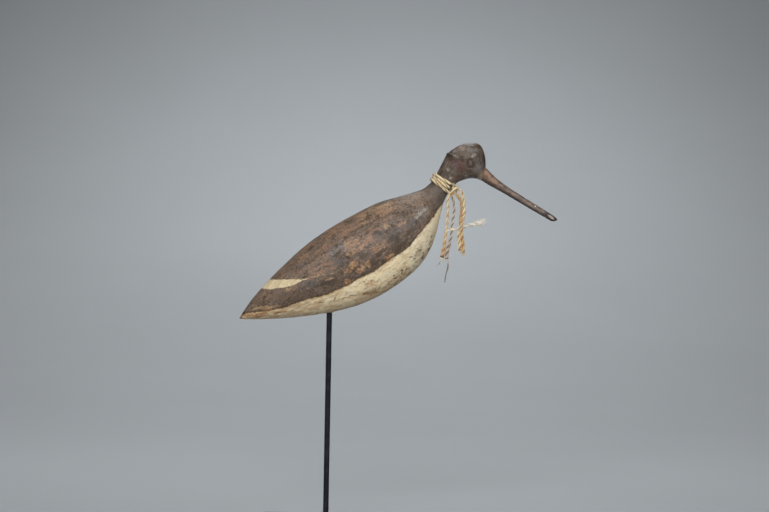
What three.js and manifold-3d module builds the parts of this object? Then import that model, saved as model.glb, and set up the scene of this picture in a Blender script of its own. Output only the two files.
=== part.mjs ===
// Shorebird decoy: a carved and painted wooden bird with a long bill let into its head, twine
// tied round its neck, on a thin steel rod in a low steel foot.
// Millimetres. +X towards the bill, +Y to the bird's left, +Z up. The origin is on the rod's
// axis, on the surface that the foot stands on.

import * as THREE from 'three';
import { mergeVertices } from 'three/addons/utils/BufferGeometryUtils.js';
import Module from 'manifold-3d';

// Bird
const birdLength = 300;
const bellyHeight = 195.5;
const bodyHalfWidth = 31;
const headHalfWidth = 13.6;
const billHalfWidth = 5;
const sectionPower = 0.92;
const roundSection = 1;

// Carving on the head
const eyeRingRadius = 3.1;
const eyeGrooveRadius = 0.75;
const eyeRingStretch = 1.22;
const crownCutLength = 21;
const crownCutHeight = 9;
const crownCutDepth = 1.8;

// Stand
const rodDiameter = 5;
const rodInBelly = 26;
const rodInFoot = 5.5;
const footLength = 120;
const footWidth = 90;
const footThickness = 8;
const footCorner = 6;
const footBevel = 0.8;

// Twine
const twineDiameter = 2.4;
const knotStrandDiameter = 2.6;
const twineSides = 8;

// Clearances between pieces that touch
const fitClearance = 0.3;
const neckClearance = 0.55;

// Mesh density
const bodyRings = 58;
const bodySides = 32;
const billRings = 16;
const billSides = 16;
const rodSides = 24;
const cornerSteps = 6;
const eyeRingSteps = 22;
const eyeGrooveSides = 8;
const flankSteps = 200;
const collarSteps = 20;
const knotStepsPerPoint = 3;
const tailStepsPerDiameter = 0.4;

// Sections of the carving from the tail's tip to the brow. Back and belly points are shares of
// birdLength, measured from where the rod enters the belly. The last number is the half width
// as a share of bodyHalfWidth.
const bodySections = [
  [-0.2699, -0.0178, -0.2692, -0.0229, 0.07],
  [-0.2602, -0.0013, -0.2499, -0.0234, 0.20],
  [-0.2350, 0.0360, -0.2001, -0.0222, 0.37],
  [-0.1619, 0.1195, -0.0764, -0.0109, 0.67],
  [-0.0725, 0.2045, 0.0536, 0.0150, 0.89],
  [0.0161, 0.2678, 0.1561, 0.0571, 0.99],
  [0.1357, 0.3328, 0.2651, 0.1433, 0.97],
  [0.1954, 0.3526, 0.3015, 0.1993, 0.86],
  [0.2402, 0.3661, 0.3227, 0.2649, 0.66],
  [0.2726, 0.3776, 0.3322, 0.3089, 0.50],
  [0.2944, 0.3943, 0.3385, 0.3401, 0.40],
  [0.3107, 0.4106, 0.3493, 0.3642, 0.335],
];

// The same for the neck and head, with the half width as a share of headHalfWidth.
const headSections = [
  [0.3173, 0.4270, 0.3628, 0.3822, 0.70],
  [0.3255, 0.4438, 0.3770, 0.3991, 0.73],
  [0.3371, 0.4663, 0.3932, 0.4075, 0.80],
  [0.3465, 0.4855, 0.4115, 0.4133, 0.88],
  [0.3691, 0.5050, 0.4263, 0.4145, 0.96],
  [0.3945, 0.5181, 0.4384, 0.4132, 1.00],
  [0.4213, 0.5222, 0.4484, 0.4098, 0.92],
  [0.4410, 0.5181, 0.4553, 0.4117, 0.74],
  [0.4536, 0.5047, 0.4594, 0.4196, 0.52],
  [0.4600, 0.4843, 0.4618, 0.4357, 0.28],
];

// The bill from its seat inside the head to its round tip: upper and lower edge as before, and
// the half width as a share of billHalfWidth.
const billSections = [
  [0.4451, 0.4565, 0.4367, 0.4228, 1.00],
  [0.4631, 0.4475, 0.4511, 0.4092, 1.00],
  [0.4862, 0.4255, 0.4704, 0.3975, 0.92],
  [0.5122, 0.4043, 0.4994, 0.3817, 0.80],
  [0.5572, 0.3743, 0.5467, 0.3557, 0.68],
  [0.6177, 0.3382, 0.6077, 0.3211, 0.60],
  [0.6564, 0.3151, 0.6474, 0.2995, 0.58],
  [0.6757, 0.3024, 0.6681, 0.2890, 0.43],
  [0.6806, 0.2974, 0.6780, 0.2904, 0.17],
];

// The eye's centre and the two ends of the cut behind the crown, as shares of birdLength
const eyePlace = [0.4173, 0.4590];
const crownCutEnds = [[0.3450, 0.4798], [0.3998, 0.4587]];

// The narrowest section of the neck, counted from the tail, and how far before or after it each
// turn of the collar crosses the throat and the nape. A layer of 1 lies on the wood.
const neckSection = bodySections.length;
const throatCrossings = [0.55, -0.06, -0.66, -0.95];
const napeCrossings = [-0.60, -1.02, -1.42];
const napeLayers = [1.5, 1.1, 1];
const lastTurnShort = 2;

// The knot's strands on the neck: sections past the narrowest, degrees from the throat, layer
const knotStrands = [
  [[-0.72, -10, 1.0], [-0.75, 14, 1.5], [-0.45, 30, 2.0], [0.05, 34, 2.0], [0.50, 22, 1.8], [0.65, 0, 1.3]],
  [[0.70, 14, 1.3], [0.35, 4, 1.8], [-0.05, 2, 1.9], [-0.40, 8, 1.9], [-0.68, 22, 1.5]],
];

// Routes of the free ends, chosen by hand: X, Y, Z in millimetres
const tailRoutes = {
  twine_tail_left: [
    [105.8, -5.2, 303.3], [105.4, -5.0, 300.9], [105.2, -4.8, 298.2], [105.2, -4.5, 295.3],
    [105.4, -4.2, 292.2], [105.4, -4.0, 289.2], [105.3, -3.8, 285.9], [105.2, -3.6, 282.7],
    [105.2, -3.4, 279.4], [105.0, -3.2, 276.2], [104.6, -3.0, 272.9], [104.1, -2.9, 269.4],
    [103.7, -2.9, 266.0], [103.3, -2.9, 262.6], [103.0, -3.0, 259.3], [102.6, -3.0, 256.0],
    [102.0, -3.0, 252.9], [101.4, -3.0, 250.0], [100.9, -3.0, 247.8],
  ],
  twine_tail_middle: [
    [109.0, -2.6, 303.2], [109.7, -2.2, 301.0], [110.4, -1.8, 298.5], [111.1, -1.4, 295.8],
    [111.3, -1.1, 293.0], [111.3, -0.9, 290.1], [111.0, -0.7, 287.0], [110.6, -0.5, 283.7],
    [110.2, -0.4, 280.5], [109.8, -0.4, 277.2], [109.5, -0.4, 273.9], [109.3, -0.5, 270.7],
    [109.1, -0.6, 267.4], [108.6, -0.8, 264.1], [107.8, -1.0, 260.8], [106.8, -1.3, 257.7],
    [106.0, -1.6, 254.7], [105.5, -1.9, 251.6], [105.3, -2.1, 248.8], [105.2, -2.2, 246.6],
  ],
  twine_tail_outer: [
    [114.3, -3.6, 310.0], [115.9, -3.7, 309.0], [117.2, -3.8, 307.6], [118.3, -4.0, 305.6],
    [119.0, -4.3, 303.1], [119.4, -4.5, 300.3], [119.7, -4.7, 297.4], [120.0, -4.8, 294.3],
    [120.1, -4.9, 291.2], [120.0, -5.0, 288.1], [119.6, -5.1, 285.1], [119.2, -5.2, 282.2],
    [118.6, -5.2, 279.3], [117.8, -5.2, 276.4], [116.9, -5.1, 273.6], [116.3, -4.9, 270.9],
    [116.0, -4.6, 268.0], [116.1, -4.3, 264.9], [116.4, -4.1, 261.9], [116.8, -3.9, 258.8],
    [117.0, -3.8, 256.1], [117.1, -3.8, 254.4],
  ],
  twine_tail_inner: [
    [112.7, -1.3, 305.8], [114.1, -1.3, 303.5], [115.3, -1.4, 301.7], [116.5, -1.6, 299.7],
    [117.3, -1.7, 297.6], [117.8, -1.9, 295.1], [118.0, -2.0, 292.2], [117.8, -2.1, 289.3],
    [117.4, -2.2, 286.5], [117.1, -2.3, 283.8], [117.0, -2.4, 281.1], [117.2, -2.5, 278.4],
    [117.7, -2.5, 275.5], [118.2, -2.4, 272.8], [118.5, -2.3, 269.9], [118.9, -2.2, 266.8],
    [119.3, -2.2, 263.8], [119.6, -2.2, 260.7], [119.8, -2.3, 257.6], [120.0, -2.4, 254.7],
    [120.2, -2.4, 252.6],
  ],
  twine_cross_end: [
    [106.1, -3.3, 272.8], [107.6, -3.6, 272.7], [109.2, -3.8, 272.7], [111.2, -3.6, 272.9],
    [113.4, -2.3, 273.3], [115.5, -0.5, 273.8], [117.7, 0.7, 274.3], [120.0, 1.0, 275.1],
    [121.9, 0.9, 276.3], [123.9, 0.7, 277.3], [126.0, 0.4, 277.9], [128.3, 0.1, 278.3],
    [130.6, -0.1, 278.5], [133.0, -0.3, 278.9], [135.1, -0.4, 279.6], [137.1, -0.5, 280.3],
  ],
};

const wasm = await Module();
wasm.setup();

const finishes = {
  paintedWood: { color: 0x6b5a4f, roughness: 0.62, metalness: 0 },
  bareWood: { color: 0x8a6a50, roughness: 0.55, metalness: 0 },
  twine: { color: 0xd2b88c, roughness: 0.9, metalness: 0 },
  blackSteel: { color: 0x2d2e31, roughness: 0.5, metalness: 0.6 },
};

// One named piece with a material of its own
function piece(name, geometry, finish) {
  const mesh = new THREE.Mesh(geometry, new THREE.MeshStandardMaterial(finish));
  mesh.name = name;
  return mesh;
}

// A closed geometry as a solid that can be cut and joined
function solid(geometry) {
  const bare = geometry.clone();
  bare.deleteAttribute('normal');
  bare.deleteAttribute('uv');
  const merged = mergeVertices(bare);
  return new wasm.Manifold(new wasm.Mesh({
    numProp: 3,
    vertProperties: Float32Array.from(merged.attributes.position.array),
    triVerts: Uint32Array.from(merged.index.array),
  }));
}

// A solid back as a geometry
function geometryOf(body) {
  const mesh = body.getMesh();
  const geometry = new THREE.BufferGeometry();
  geometry.setAttribute('position', new THREE.BufferAttribute(mesh.vertProperties, 3));
  geometry.setIndex(new THREE.BufferAttribute(mesh.triVerts, 1));
  return geometry;
}

// A point of the bird from shares of its length
function birdPoint(shareX, shareZ) {
  return new THREE.Vector3(shareX * birdLength, 0, bellyHeight + shareZ * birdLength);
}

// The carving's lines through a list of sections: upper edge, lower edge and half width
function carvingLines(sections) {
  const upper = new THREE.CatmullRomCurve3(sections.map(([x, z]) => birdPoint(x, z)));
  const lower = new THREE.CatmullRomCurve3(sections.map(([, , x, z]) => birdPoint(x, z)));
  const widths = new THREE.SplineCurve(
    sections.map(([, , , , width], index) => new THREE.Vector2(index, width)),
  );
  return { upper, lower, widths, last: sections.length - 1 };
}

// The section at a share u of the lines: its middle, half height as a vector, and half width
function sectionAt(lines, u) {
  const top = lines.upper.getPoint(u);
  const bottom = lines.lower.getPoint(u);
  return {
    middle: top.clone().add(bottom).multiplyScalar(0.5),
    rise: top.clone().sub(bottom).multiplyScalar(0.5),
    halfWidth: lines.widths.getPoint(u).y,
  };
}

// A share of the circle made squarer, so that the flanks are fuller than an ellipse's
function fuller(share, power) {
  return Math.sign(share) * Math.abs(share) ** power;
}

// A solid through all sections, grown outwards by an allowance
function loft(lines, rings, sides, power, allowance = 0) {
  const geometry = new THREE.CylinderGeometry(1, 1, 1, sides, rings);
  const position = geometry.attributes.position;
  for (let index = 0; index < position.count; index += 1) {
    const { middle, rise, halfWidth } = sectionAt(lines, 0.5 - position.getY(index));
    const up = fuller(position.getZ(index), power);
    const out = fuller(position.getX(index), power);
    const grown = rise.clone().setLength(rise.length() + allowance);
    const point = middle.addScaledVector(grown, up);
    position.setXYZ(index, point.x, out * (halfWidth + allowance), point.z);
  }
  return geometry;
}

// A round tube along a list of points
function tube(points, diameter, steps, sides) {
  const section = new THREE.Shape();
  for (let side = 0; side < sides; side += 1) {
    const angle = (2 * Math.PI * side) / sides;
    const x = (diameter / 2) * Math.cos(angle);
    const y = (diameter / 2) * Math.sin(angle);
    if (side === 0) section.moveTo(x, y);
    else section.lineTo(x, y);
  }
  section.closePath();
  const extrudePath = new THREE.CatmullRomCurve3(points);
  return new THREE.ExtrudeGeometry(section, { steps, extrudePath, bevelEnabled: false });
}

// Carving
const carvedSections = [
  ...bodySections.map(([a, b, c, d, width]) => [a, b, c, d, width * bodyHalfWidth]),
  ...headSections.map(([a, b, c, d, width]) => [a, b, c, d, width * headHalfWidth]),
];
const carving = carvingLines(carvedSections);
const billCarving = carvingLines(
  billSections.map(([a, b, c, d, width]) => [a, b, c, d, width * billHalfWidth]),
);

// How far the head's flank stands out from the middle plane at a point of the side view
function flankAt(place) {
  let nearest = null;
  const firstHeadShare = bodySections.length / carving.last;
  for (let step = 0; step <= flankSteps; step += 1) {
    const u = THREE.MathUtils.lerp(firstHeadShare, 1, step / flankSteps);
    const section = sectionAt(carving, u);
    const offset = place.clone().sub(section.middle);
    const height = offset.dot(section.rise) / section.rise.lengthSq();
    const aside = offset.addScaledVector(section.rise, -height).length();
    if (nearest === null || aside < nearest.aside) nearest = { aside, height, section };
  }
  const share = Math.min(1, Math.abs(nearest.height)) ** (2 / sectionPower);
  return nearest.section.halfWidth * (1 - share) ** (sectionPower / 2);
}

// A ring groove round each eye
function eyeGroove(side) {
  const centre = birdPoint(...eyePlace);
  const ring = new THREE.TorusGeometry(eyeRingRadius, eyeGrooveRadius, eyeGrooveSides, eyeRingSteps);
  ring.scale(1, eyeRingStretch, 1);
  ring.rotateX(Math.PI / 2);
  ring.translate(centre.x, side * flankAt(centre), centre.z);
  return solid(ring);
}

// The flake missing behind the crown on the bird's right: a wedge, deepest under its upper edge
// and at the back, that runs out towards the eye and downwards
function crownCut() {
  const [back, front] = crownCutEnds.map((ends) => birdPoint(...ends));
  const span = back.distanceTo(front);
  const slope = Math.atan2(front.z - back.z, front.x - back.x);
  const backFloor = crownCutDepth - flankAt(back);
  const frontFloor = -flankAt(front);
  const block = new THREE.BoxGeometry(crownCutLength, headHalfWidth, crownCutHeight);
  block.translate(0, -headHalfWidth / 2, -crownCutHeight / 2);
  block.rotateX(-Math.atan2(crownCutDepth, crownCutHeight));
  block.rotateZ(-Math.atan2(backFloor - frontFloor, span));
  block.rotateY(-slope);
  block.translate(
    (back.x + front.x) / 2,
    (backFloor + frontFloor) / 2,
    (back.z + front.z) / 2,
  );
  return solid(block);
}

// The seat that the bill is let into: its own shape grown by the clearance, and as much deeper
function billSeat() {
  const seat = loft(billCarving, billRings, billSides, roundSection, fitClearance);
  const root = sectionAt(billCarving, 0).middle;
  const deeper = root.sub(sectionAt(billCarving, 1).middle).setLength(fitClearance);
  seat.translate(deeper.x, 0, deeper.z);
  return solid(seat);
}

// The round hole for the rod, from below
function rodHole(bottom, depth) {
  const radius = rodDiameter / 2 + fitClearance;
  const hole = new THREE.CylinderGeometry(radius, radius, depth, rodSides);
  hole.rotateX(Math.PI / 2);
  hole.translate(0, 0, bottom + depth / 2);
  return solid(hole);
}

function decoyBody() {
  const belowBelly = bellyHeight - rodInBelly;
  const holeLength = 2 * rodInBelly + fitClearance;
  return geometryOf(
    solid(loft(carving, bodyRings, bodySides, sectionPower))
      .subtract(billSeat())
      .subtract(rodHole(belowBelly, holeLength))
      .subtract(eyeGroove(-1))
      .subtract(eyeGroove(1))
      .subtract(crownCut()),
  );
}

function bill() {
  return loft(billCarving, billRings, billSides, roundSection);
}

// A point on a strand laid round the neck. The angle runs from the throat over the bird's right
// flank, and a layer of 1 lies on the wood, one of 2 on another strand.
function onNeck(sectionsPast, angle, layer) {
  const { middle, rise, halfWidth } = sectionAt(carving, (neckSection + sectionsPast) / carving.last);
  const stand = neckClearance + (layer - 0.5) * twineDiameter;
  const grown = rise.clone().setLength(rise.length() + stand);
  const point = middle.addScaledVector(grown, -fuller(Math.cos(angle), sectionPower));
  point.y = -(halfWidth + stand) * fuller(Math.sin(angle), sectionPower);
  return point;
}

// The centre line of the collar's turns, from the knot round the neck and back to it
function collarPoints() {
  const points = [];
  napeCrossings.forEach((nape, turn) => {
    const lastTurn = turn === napeCrossings.length - 1;
    const steps = lastTurn ? collarSteps - lastTurnShort : collarSteps;
    for (let step = 0; step < steps; step += 1) {
      const angle = (2 * Math.PI * step) / collarSteps;
      const throat = angle <= Math.PI ? throatCrossings[turn] : throatCrossings[turn + 1];
      const towardsNape = (1 - Math.cos(angle)) / 2;
      const along = THREE.MathUtils.lerp(throat, nape, towardsNape);
      const layer = THREE.MathUtils.lerp(1, napeLayers[turn], towardsNape);
      points.push(onNeck(along, angle, layer));
    }
  });
  return points;
}

// Turns and knot, one length of twine
function twineCollar() {
  const points = collarPoints();
  const turns = solid(tube(points, twineDiameter, points.length, twineSides));
  const strands = knotStrands.map((strand) => {
    const places = strand.map(([along, degrees, layer]) => (
      onNeck(along, THREE.MathUtils.degToRad(degrees), layer)
    ));
    const steps = knotStepsPerPoint * places.length;
    return solid(tube(places, knotStrandDiameter, steps, twineSides));
  });
  return geometryOf(strands.reduce((joined, strand) => joined.add(strand), turns));
}

function standRod() {
  const bottom = footThickness - rodInFoot + fitClearance;
  const length = bellyHeight + rodInBelly - bottom;
  const rod = new THREE.CylinderGeometry(rodDiameter / 2, rodDiameter / 2, length, rodSides);
  rod.rotateX(Math.PI / 2);
  rod.translate(0, 0, bottom + length / 2);
  return rod;
}

function standBase() {
  const halfLength = footLength / 2 - footBevel;
  const halfWidth = footWidth / 2 - footBevel;
  const corner = footCorner - footBevel;
  const outline = new THREE.Shape();
  outline.absarc(halfLength - corner, halfWidth - corner, corner, 0, Math.PI / 2);
  outline.absarc(corner - halfLength, halfWidth - corner, corner, Math.PI / 2, Math.PI);
  outline.absarc(corner - halfLength, corner - halfWidth, corner, Math.PI, 1.5 * Math.PI);
  outline.absarc(halfLength - corner, corner - halfWidth, corner, 1.5 * Math.PI, 2 * Math.PI);
  const plate = new THREE.ExtrudeGeometry(outline, {
    depth: footThickness - 2 * footBevel,
    bevelThickness: footBevel,
    bevelSize: footBevel,
    bevelSegments: 1,
    curveSegments: cornerSteps,
  });
  plate.translate(0, 0, footBevel);
  return geometryOf(solid(plate).subtract(rodHole(footThickness - rodInFoot, footThickness)));
}

const decoy = new THREE.Group();
decoy.add(piece('decoy_body', decoyBody(), finishes.paintedWood));
decoy.add(piece('bill', bill(), finishes.bareWood));
decoy.add(piece('twine_collar', twineCollar(), finishes.twine));
for (const [name, route] of Object.entries(tailRoutes)) {
  const points = route.map((place) => new THREE.Vector3(...place));
  const length = new THREE.CatmullRomCurve3(points).getLength();
  const steps = Math.round((tailStepsPerDiameter * length) / twineDiameter);
  decoy.add(piece(name, tube(points, twineDiameter, steps, twineSides), finishes.twine));
}
decoy.add(piece('stand_rod', standRod(), finishes.blackSteel));
decoy.add(piece('stand_base', standBase(), finishes.blackSteel));

export default decoy;
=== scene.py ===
"""A carved and painted shorebird decoy on its rod stand, with twine tied round its neck."""

import functools
import logging
import math
from dataclasses import dataclass
from enum import Enum

import bpy
import numpy as np
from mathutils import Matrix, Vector


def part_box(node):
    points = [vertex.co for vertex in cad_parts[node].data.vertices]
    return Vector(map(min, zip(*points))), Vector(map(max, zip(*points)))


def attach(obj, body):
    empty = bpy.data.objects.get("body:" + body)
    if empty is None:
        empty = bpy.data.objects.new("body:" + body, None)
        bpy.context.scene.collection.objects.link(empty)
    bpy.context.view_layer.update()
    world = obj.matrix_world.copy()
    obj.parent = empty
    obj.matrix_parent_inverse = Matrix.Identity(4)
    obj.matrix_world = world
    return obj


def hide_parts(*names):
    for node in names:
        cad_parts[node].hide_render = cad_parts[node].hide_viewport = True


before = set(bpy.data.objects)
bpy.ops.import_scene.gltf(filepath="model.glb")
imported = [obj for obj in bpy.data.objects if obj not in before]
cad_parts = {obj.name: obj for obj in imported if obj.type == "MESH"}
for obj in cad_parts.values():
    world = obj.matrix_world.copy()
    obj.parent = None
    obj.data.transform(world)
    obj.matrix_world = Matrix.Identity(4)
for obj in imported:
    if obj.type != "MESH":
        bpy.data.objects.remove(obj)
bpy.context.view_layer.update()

MM = 0.001
BODY = "root"
log = logging.getLogger("decoy")

# Short names for type hints
Pair = tuple[float, float]
Point = tuple[float, float, float]
Array = np.ndarray
Piece = bpy.types.Object
Material = bpy.types.Material
Socket = bpy.types.NodeSocket
Outputs = bpy.types.NodeOutputs

# The bird's sizes in metres, and the shape of its sections
BIRD_LENGTH = 0.300
BELLY_HEIGHT = 0.1955
BODY_HALF_WIDTH = 0.031
HEAD_HALF_WIDTH = 0.0136
BILL_HALF_WIDTH = 0.005
BODY_POWER = 0.92

# Clearances between the pieces
FIT = 0.0003
NECK_CLEARANCE = 0.00055

# Slope of the wood's grain in the side view, in degrees
BODY_GRAIN = 33.0
BILL_GRAIN = -27.5

# Sections of the carving from the tail's tip to the brow. Back and belly points are shares of the
# bird's length, measured from where the rod enters the belly, then the share of the half width.
BODY_SECTIONS = [
    (-0.2699, -0.0178, -0.2692, -0.0229, 0.07),
    (-0.2602, -0.0013, -0.2499, -0.0234, 0.20),
    (-0.2350, 0.0360, -0.2001, -0.0222, 0.37),
    (-0.1619, 0.1195, -0.0764, -0.0109, 0.67),
    (-0.0725, 0.2045, 0.0536, 0.0150, 0.89),
    (0.0161, 0.2678, 0.1561, 0.0571, 0.99),
    (0.1357, 0.3328, 0.2651, 0.1433, 0.97),
    (0.1954, 0.3526, 0.3015, 0.1993, 0.86),
    (0.2402, 0.3661, 0.3227, 0.2649, 0.66),
    (0.2726, 0.3776, 0.3322, 0.3089, 0.50),
    (0.2944, 0.3943, 0.3385, 0.3401, 0.40),
    (0.3107, 0.4106, 0.3493, 0.3642, 0.335),
]
HEAD_SECTIONS = [
    (0.3173, 0.4270, 0.3628, 0.3822, 0.70),
    (0.3255, 0.4438, 0.3770, 0.3991, 0.73),
    (0.3371, 0.4663, 0.3932, 0.4075, 0.80),
    (0.3465, 0.4855, 0.4115, 0.4133, 0.88),
    (0.3691, 0.5050, 0.4263, 0.4145, 0.96),
    (0.3945, 0.5181, 0.4384, 0.4132, 1.00),
    (0.4213, 0.5222, 0.4484, 0.4098, 0.92),
    (0.4410, 0.5181, 0.4553, 0.4117, 0.74),
    (0.4536, 0.5047, 0.4594, 0.4196, 0.52),
    (0.4600, 0.4843, 0.4618, 0.4357, 0.28),
]
BILL_SECTIONS = [
    (0.4451, 0.4565, 0.4367, 0.4228, 1.00),
    (0.4631, 0.4475, 0.4511, 0.4092, 1.00),
    (0.4862, 0.4255, 0.4704, 0.3975, 0.92),
    (0.5122, 0.4043, 0.4994, 0.3817, 0.80),
    (0.5572, 0.3743, 0.5467, 0.3557, 0.68),
    (0.6177, 0.3382, 0.6077, 0.3211, 0.60),
    (0.6564, 0.3151, 0.6474, 0.2995, 0.58),
    (0.6757, 0.3024, 0.6681, 0.2890, 0.43),
    (0.6806, 0.2974, 0.6780, 0.2904, 0.17),
]

# Routes of the twine's free ends: X, Y, Z in millimetres
TAIL_ROUTES = {
    "twine_tail_left": [
        (105.8, -5.2, 303.3), (105.4, -5.0, 300.9), (105.2, -4.8, 298.2), (105.2, -4.5, 295.3),
        (105.4, -4.2, 292.2), (105.4, -4.0, 289.2), (105.3, -3.8, 285.9), (105.2, -3.6, 282.7),
        (105.2, -3.4, 279.4), (105.0, -3.2, 276.2), (104.6, -3.0, 272.9), (104.1, -2.9, 269.4),
        (103.7, -2.9, 266.0), (103.3, -2.9, 262.6), (103.0, -3.0, 259.3), (102.6, -3.0, 256.0),
        (102.0, -3.0, 252.9), (101.4, -3.0, 250.0), (100.9, -3.0, 247.8),
    ],
    "twine_tail_middle": [
        (109.0, -2.6, 303.2), (109.7, -2.2, 301.0), (110.4, -1.8, 298.5), (111.1, -1.4, 295.8),
        (111.3, -1.1, 293.0), (111.3, -0.9, 290.1), (111.0, -0.7, 287.0), (110.6, -0.5, 283.7),
        (110.2, -0.4, 280.5), (109.8, -0.4, 277.2), (109.5, -0.4, 273.9), (109.3, -0.5, 270.7),
        (109.1, -0.6, 267.4), (108.6, -0.8, 264.1), (107.8, -1.0, 260.8), (106.8, -1.3, 257.7),
        (106.0, -1.6, 254.7), (105.5, -1.9, 251.6), (105.3, -2.1, 248.8), (105.2, -2.2, 246.6),
    ],
    "twine_tail_outer": [
        (114.3, -3.6, 310.0), (115.9, -3.7, 309.0), (117.2, -3.8, 307.6), (118.3, -4.0, 305.6),
        (119.0, -4.3, 303.1), (119.4, -4.5, 300.3), (119.7, -4.7, 297.4), (120.0, -4.8, 294.3),
        (120.1, -4.9, 291.2), (120.0, -5.0, 288.1), (119.6, -5.1, 285.1), (119.2, -5.2, 282.2),
        (118.6, -5.2, 279.3), (117.8, -5.2, 276.4), (116.9, -5.1, 273.6), (116.3, -4.9, 270.9),
        (116.0, -4.6, 268.0), (116.1, -4.3, 264.9), (116.4, -4.1, 261.9), (116.8, -3.9, 258.8),
        (117.0, -3.8, 256.1), (117.1, -3.8, 254.4),
    ],
    "twine_tail_inner": [
        (112.7, -1.3, 305.8), (114.1, -1.3, 303.5), (115.3, -1.4, 301.7), (116.5, -1.6, 299.7),
        (117.3, -1.7, 297.6), (117.8, -1.9, 295.1), (118.0, -2.0, 292.2), (117.8, -2.1, 289.3),
        (117.4, -2.2, 286.5), (117.1, -2.3, 283.8), (117.0, -2.4, 281.1), (117.2, -2.5, 278.4),
        (117.7, -2.5, 275.5), (118.2, -2.4, 272.8), (118.5, -2.3, 269.9), (118.9, -2.2, 266.8),
        (119.3, -2.2, 263.8), (119.6, -2.2, 260.7), (119.8, -2.3, 257.6), (120.0, -2.4, 254.7),
        (120.2, -2.4, 252.6),
    ],
    "twine_cross_end": [
        (106.1, -3.3, 272.8), (107.6, -3.6, 272.7), (109.2, -3.8, 272.7), (111.2, -3.6, 272.9),
        (113.4, -2.3, 273.3), (115.5, -0.5, 273.8), (117.7, 0.7, 274.3), (120.0, 1.0, 275.1),
        (121.9, 0.9, 276.3), (123.9, 0.7, 277.3), (126.0, 0.4, 277.9), (128.3, 0.1, 278.3),
        (130.6, -0.1, 278.5), (133.0, -0.3, 278.9), (135.1, -0.4, 279.6), (137.1, -0.5, 280.3),
    ],
}

# The collar: the neck's narrowest section, how far past it each turn crosses throat and nape, and
# on which layer it lies there
NECK_SECTION = len(BODY_SECTIONS)
THROAT_CROSSINGS = (0.55, -0.06, -0.66, -0.95)
NAPE_CROSSINGS = (-0.60, -1.02, -1.42)
NAPE_LAYERS = (1.5, 1.1, 1.0)
COLLAR_STEPS = 20
LAST_TURN_SHORT = 2

# The knot's strands on the neck: sections past the narrowest, degrees from the throat, layer
KNOT_ON_NECK = [
    [(-0.72, -10, 1.0), (-0.75, 14, 1.5), (-0.45, 30, 2.0), (0.05, 34, 2.0), (0.50, 22, 1.8),
     (0.65, 0, 1.3)],
    [(0.70, 14, 1.3), (0.35, 4, 1.8), (-0.05, 2, 1.9), (-0.40, 8, 1.9), (-0.68, 22, 1.5)],
]

# Short strands that lead out of the knot into the free ends: X, Y, Z in millimetres
KNOT_LEADS = [
    [(109.0, -5.6, 314.6), (109.8, -6.0, 312.0), (109.0, -6.2, 309.4), (107.4, -6.0, 306.8),
     (106.2, -5.5, 304.8), (105.8, -5.2, 303.4)],
    [(109.6, -3.6, 313.4), (111.0, -4.4, 312.6), (112.8, -4.0, 311.3), (114.2, -3.6, 310.1)],
    [(109.0, -3.8, 311.2), (110.4, -3.0, 309.4), (111.6, -1.9, 307.6), (112.6, -1.3, 305.9)],
    [(107.6, -4.6, 309.0), (108.0, -4.2, 306.8), (108.5, -3.3, 304.8), (109.0, -2.6, 303.3)],
]

# The line between dark and pale paint, from the breast to the tail, and the pale stripe that
# crosses the tail: X, Z in millimetres in the side view
PAINT_LINE = [
    (170.0, 299.0), (102.5, 298.0), (99.9, 295.3), (96.5, 290.8), (92.3, 283.8), (85.2, 275.0),
    (72.5, 258.3),
    (63.0, 250.0), (56.0, 246.5), (39.9, 233.9), (27.3, 227.8), (15.6, 220.7), (-1.9, 212.5),
    (-17.6, 208.3), (-26.8, 205.4), (-38.7, 200.6), (-45.0, 198.7), (-59.2, 196.2), (-74.6, 194.1),
    (-84.0, 190.5),
]
TAIL_STRIPE = [
    (-70.0, 223.5), (-56.1, 224.7), (-53.4, 225.0), (-38.0, 225.4), (-31.7, 225.7), (-24.4, 225.9),
    (-17.9, 226.9), (-25.3, 224.0), (-30.7, 221.2), (-36.1, 218.9), (-42.4, 217.9), (-54.2, 216.4),
    (-61.0, 216.5), (-70.0, 216.6),
]

# Carving on the head: X, Z in millimetres in the side view
CROWN_LEDGE = [
    (103.0, 342.0), (104.4, 341.3), (107.1, 340.0), (109.4, 339.4), (112.9, 338.0), (115.7, 336.3),
    (119.2, 334.0), (121.3, 332.7),
]
EYE_PLACE = (124.7, 332.4)

# Small knobs: X, Z, half length and half height in millimetres, and how far they stand out in
# metres. They are the nub behind the crown, the brow and the rim round the rod's hole.
KNOBS = [(104.2, 341.8, 1.2, 1.2, 0.0007), (128.2, 340.1, 2.6, 2.6, 0.0004), (2.6, 195.5, 2.47, 1.9, 0.0006)]

# The round dent in the breast: X, Z, radius and width of its groove in millimetres
BREAST_DENT = (67.3, 234.3, 2.7, 0.6)

# Slanting lines where the neck ends and where the bare wood beside the bill starts: X and Z of a
# point in millimetres, and the direction across the line
NECK_END = (105.0, 316.0, 0.35, 0.94)
FACE_END = (135.0, 325.9, 0.83, -0.56)

# Loose strands that hang below two of the free ends: X, Y, Z in millimetres, radius in metres
LEFT_WISPS = (
    (((100.9, -3.0, 247.8), (99.6, -3.0, 245.0), (99.0, -3.1, 242.6), (98.7, -3.2, 240.6)), 0.00022),
    (((99.4, -3.0, 244.4), (98.4, -2.8, 242.0), (97.2, -2.7, 240.6), (95.8, -2.6, 239.9)), 0.00018),
)
MIDDLE_WISPS = (
    (
        (
            (105.2, -2.2, 246.6), (106.3, -2.2, 244.4), (106.6, -2.3, 240.4), (106.1, -2.4, 236.7),
            (105.3, -2.4, 234.3), (104.3, -2.4, 228.5), (103.9, -2.4, 224.9),
        ),
        0.0007,
    ),
)


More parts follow.
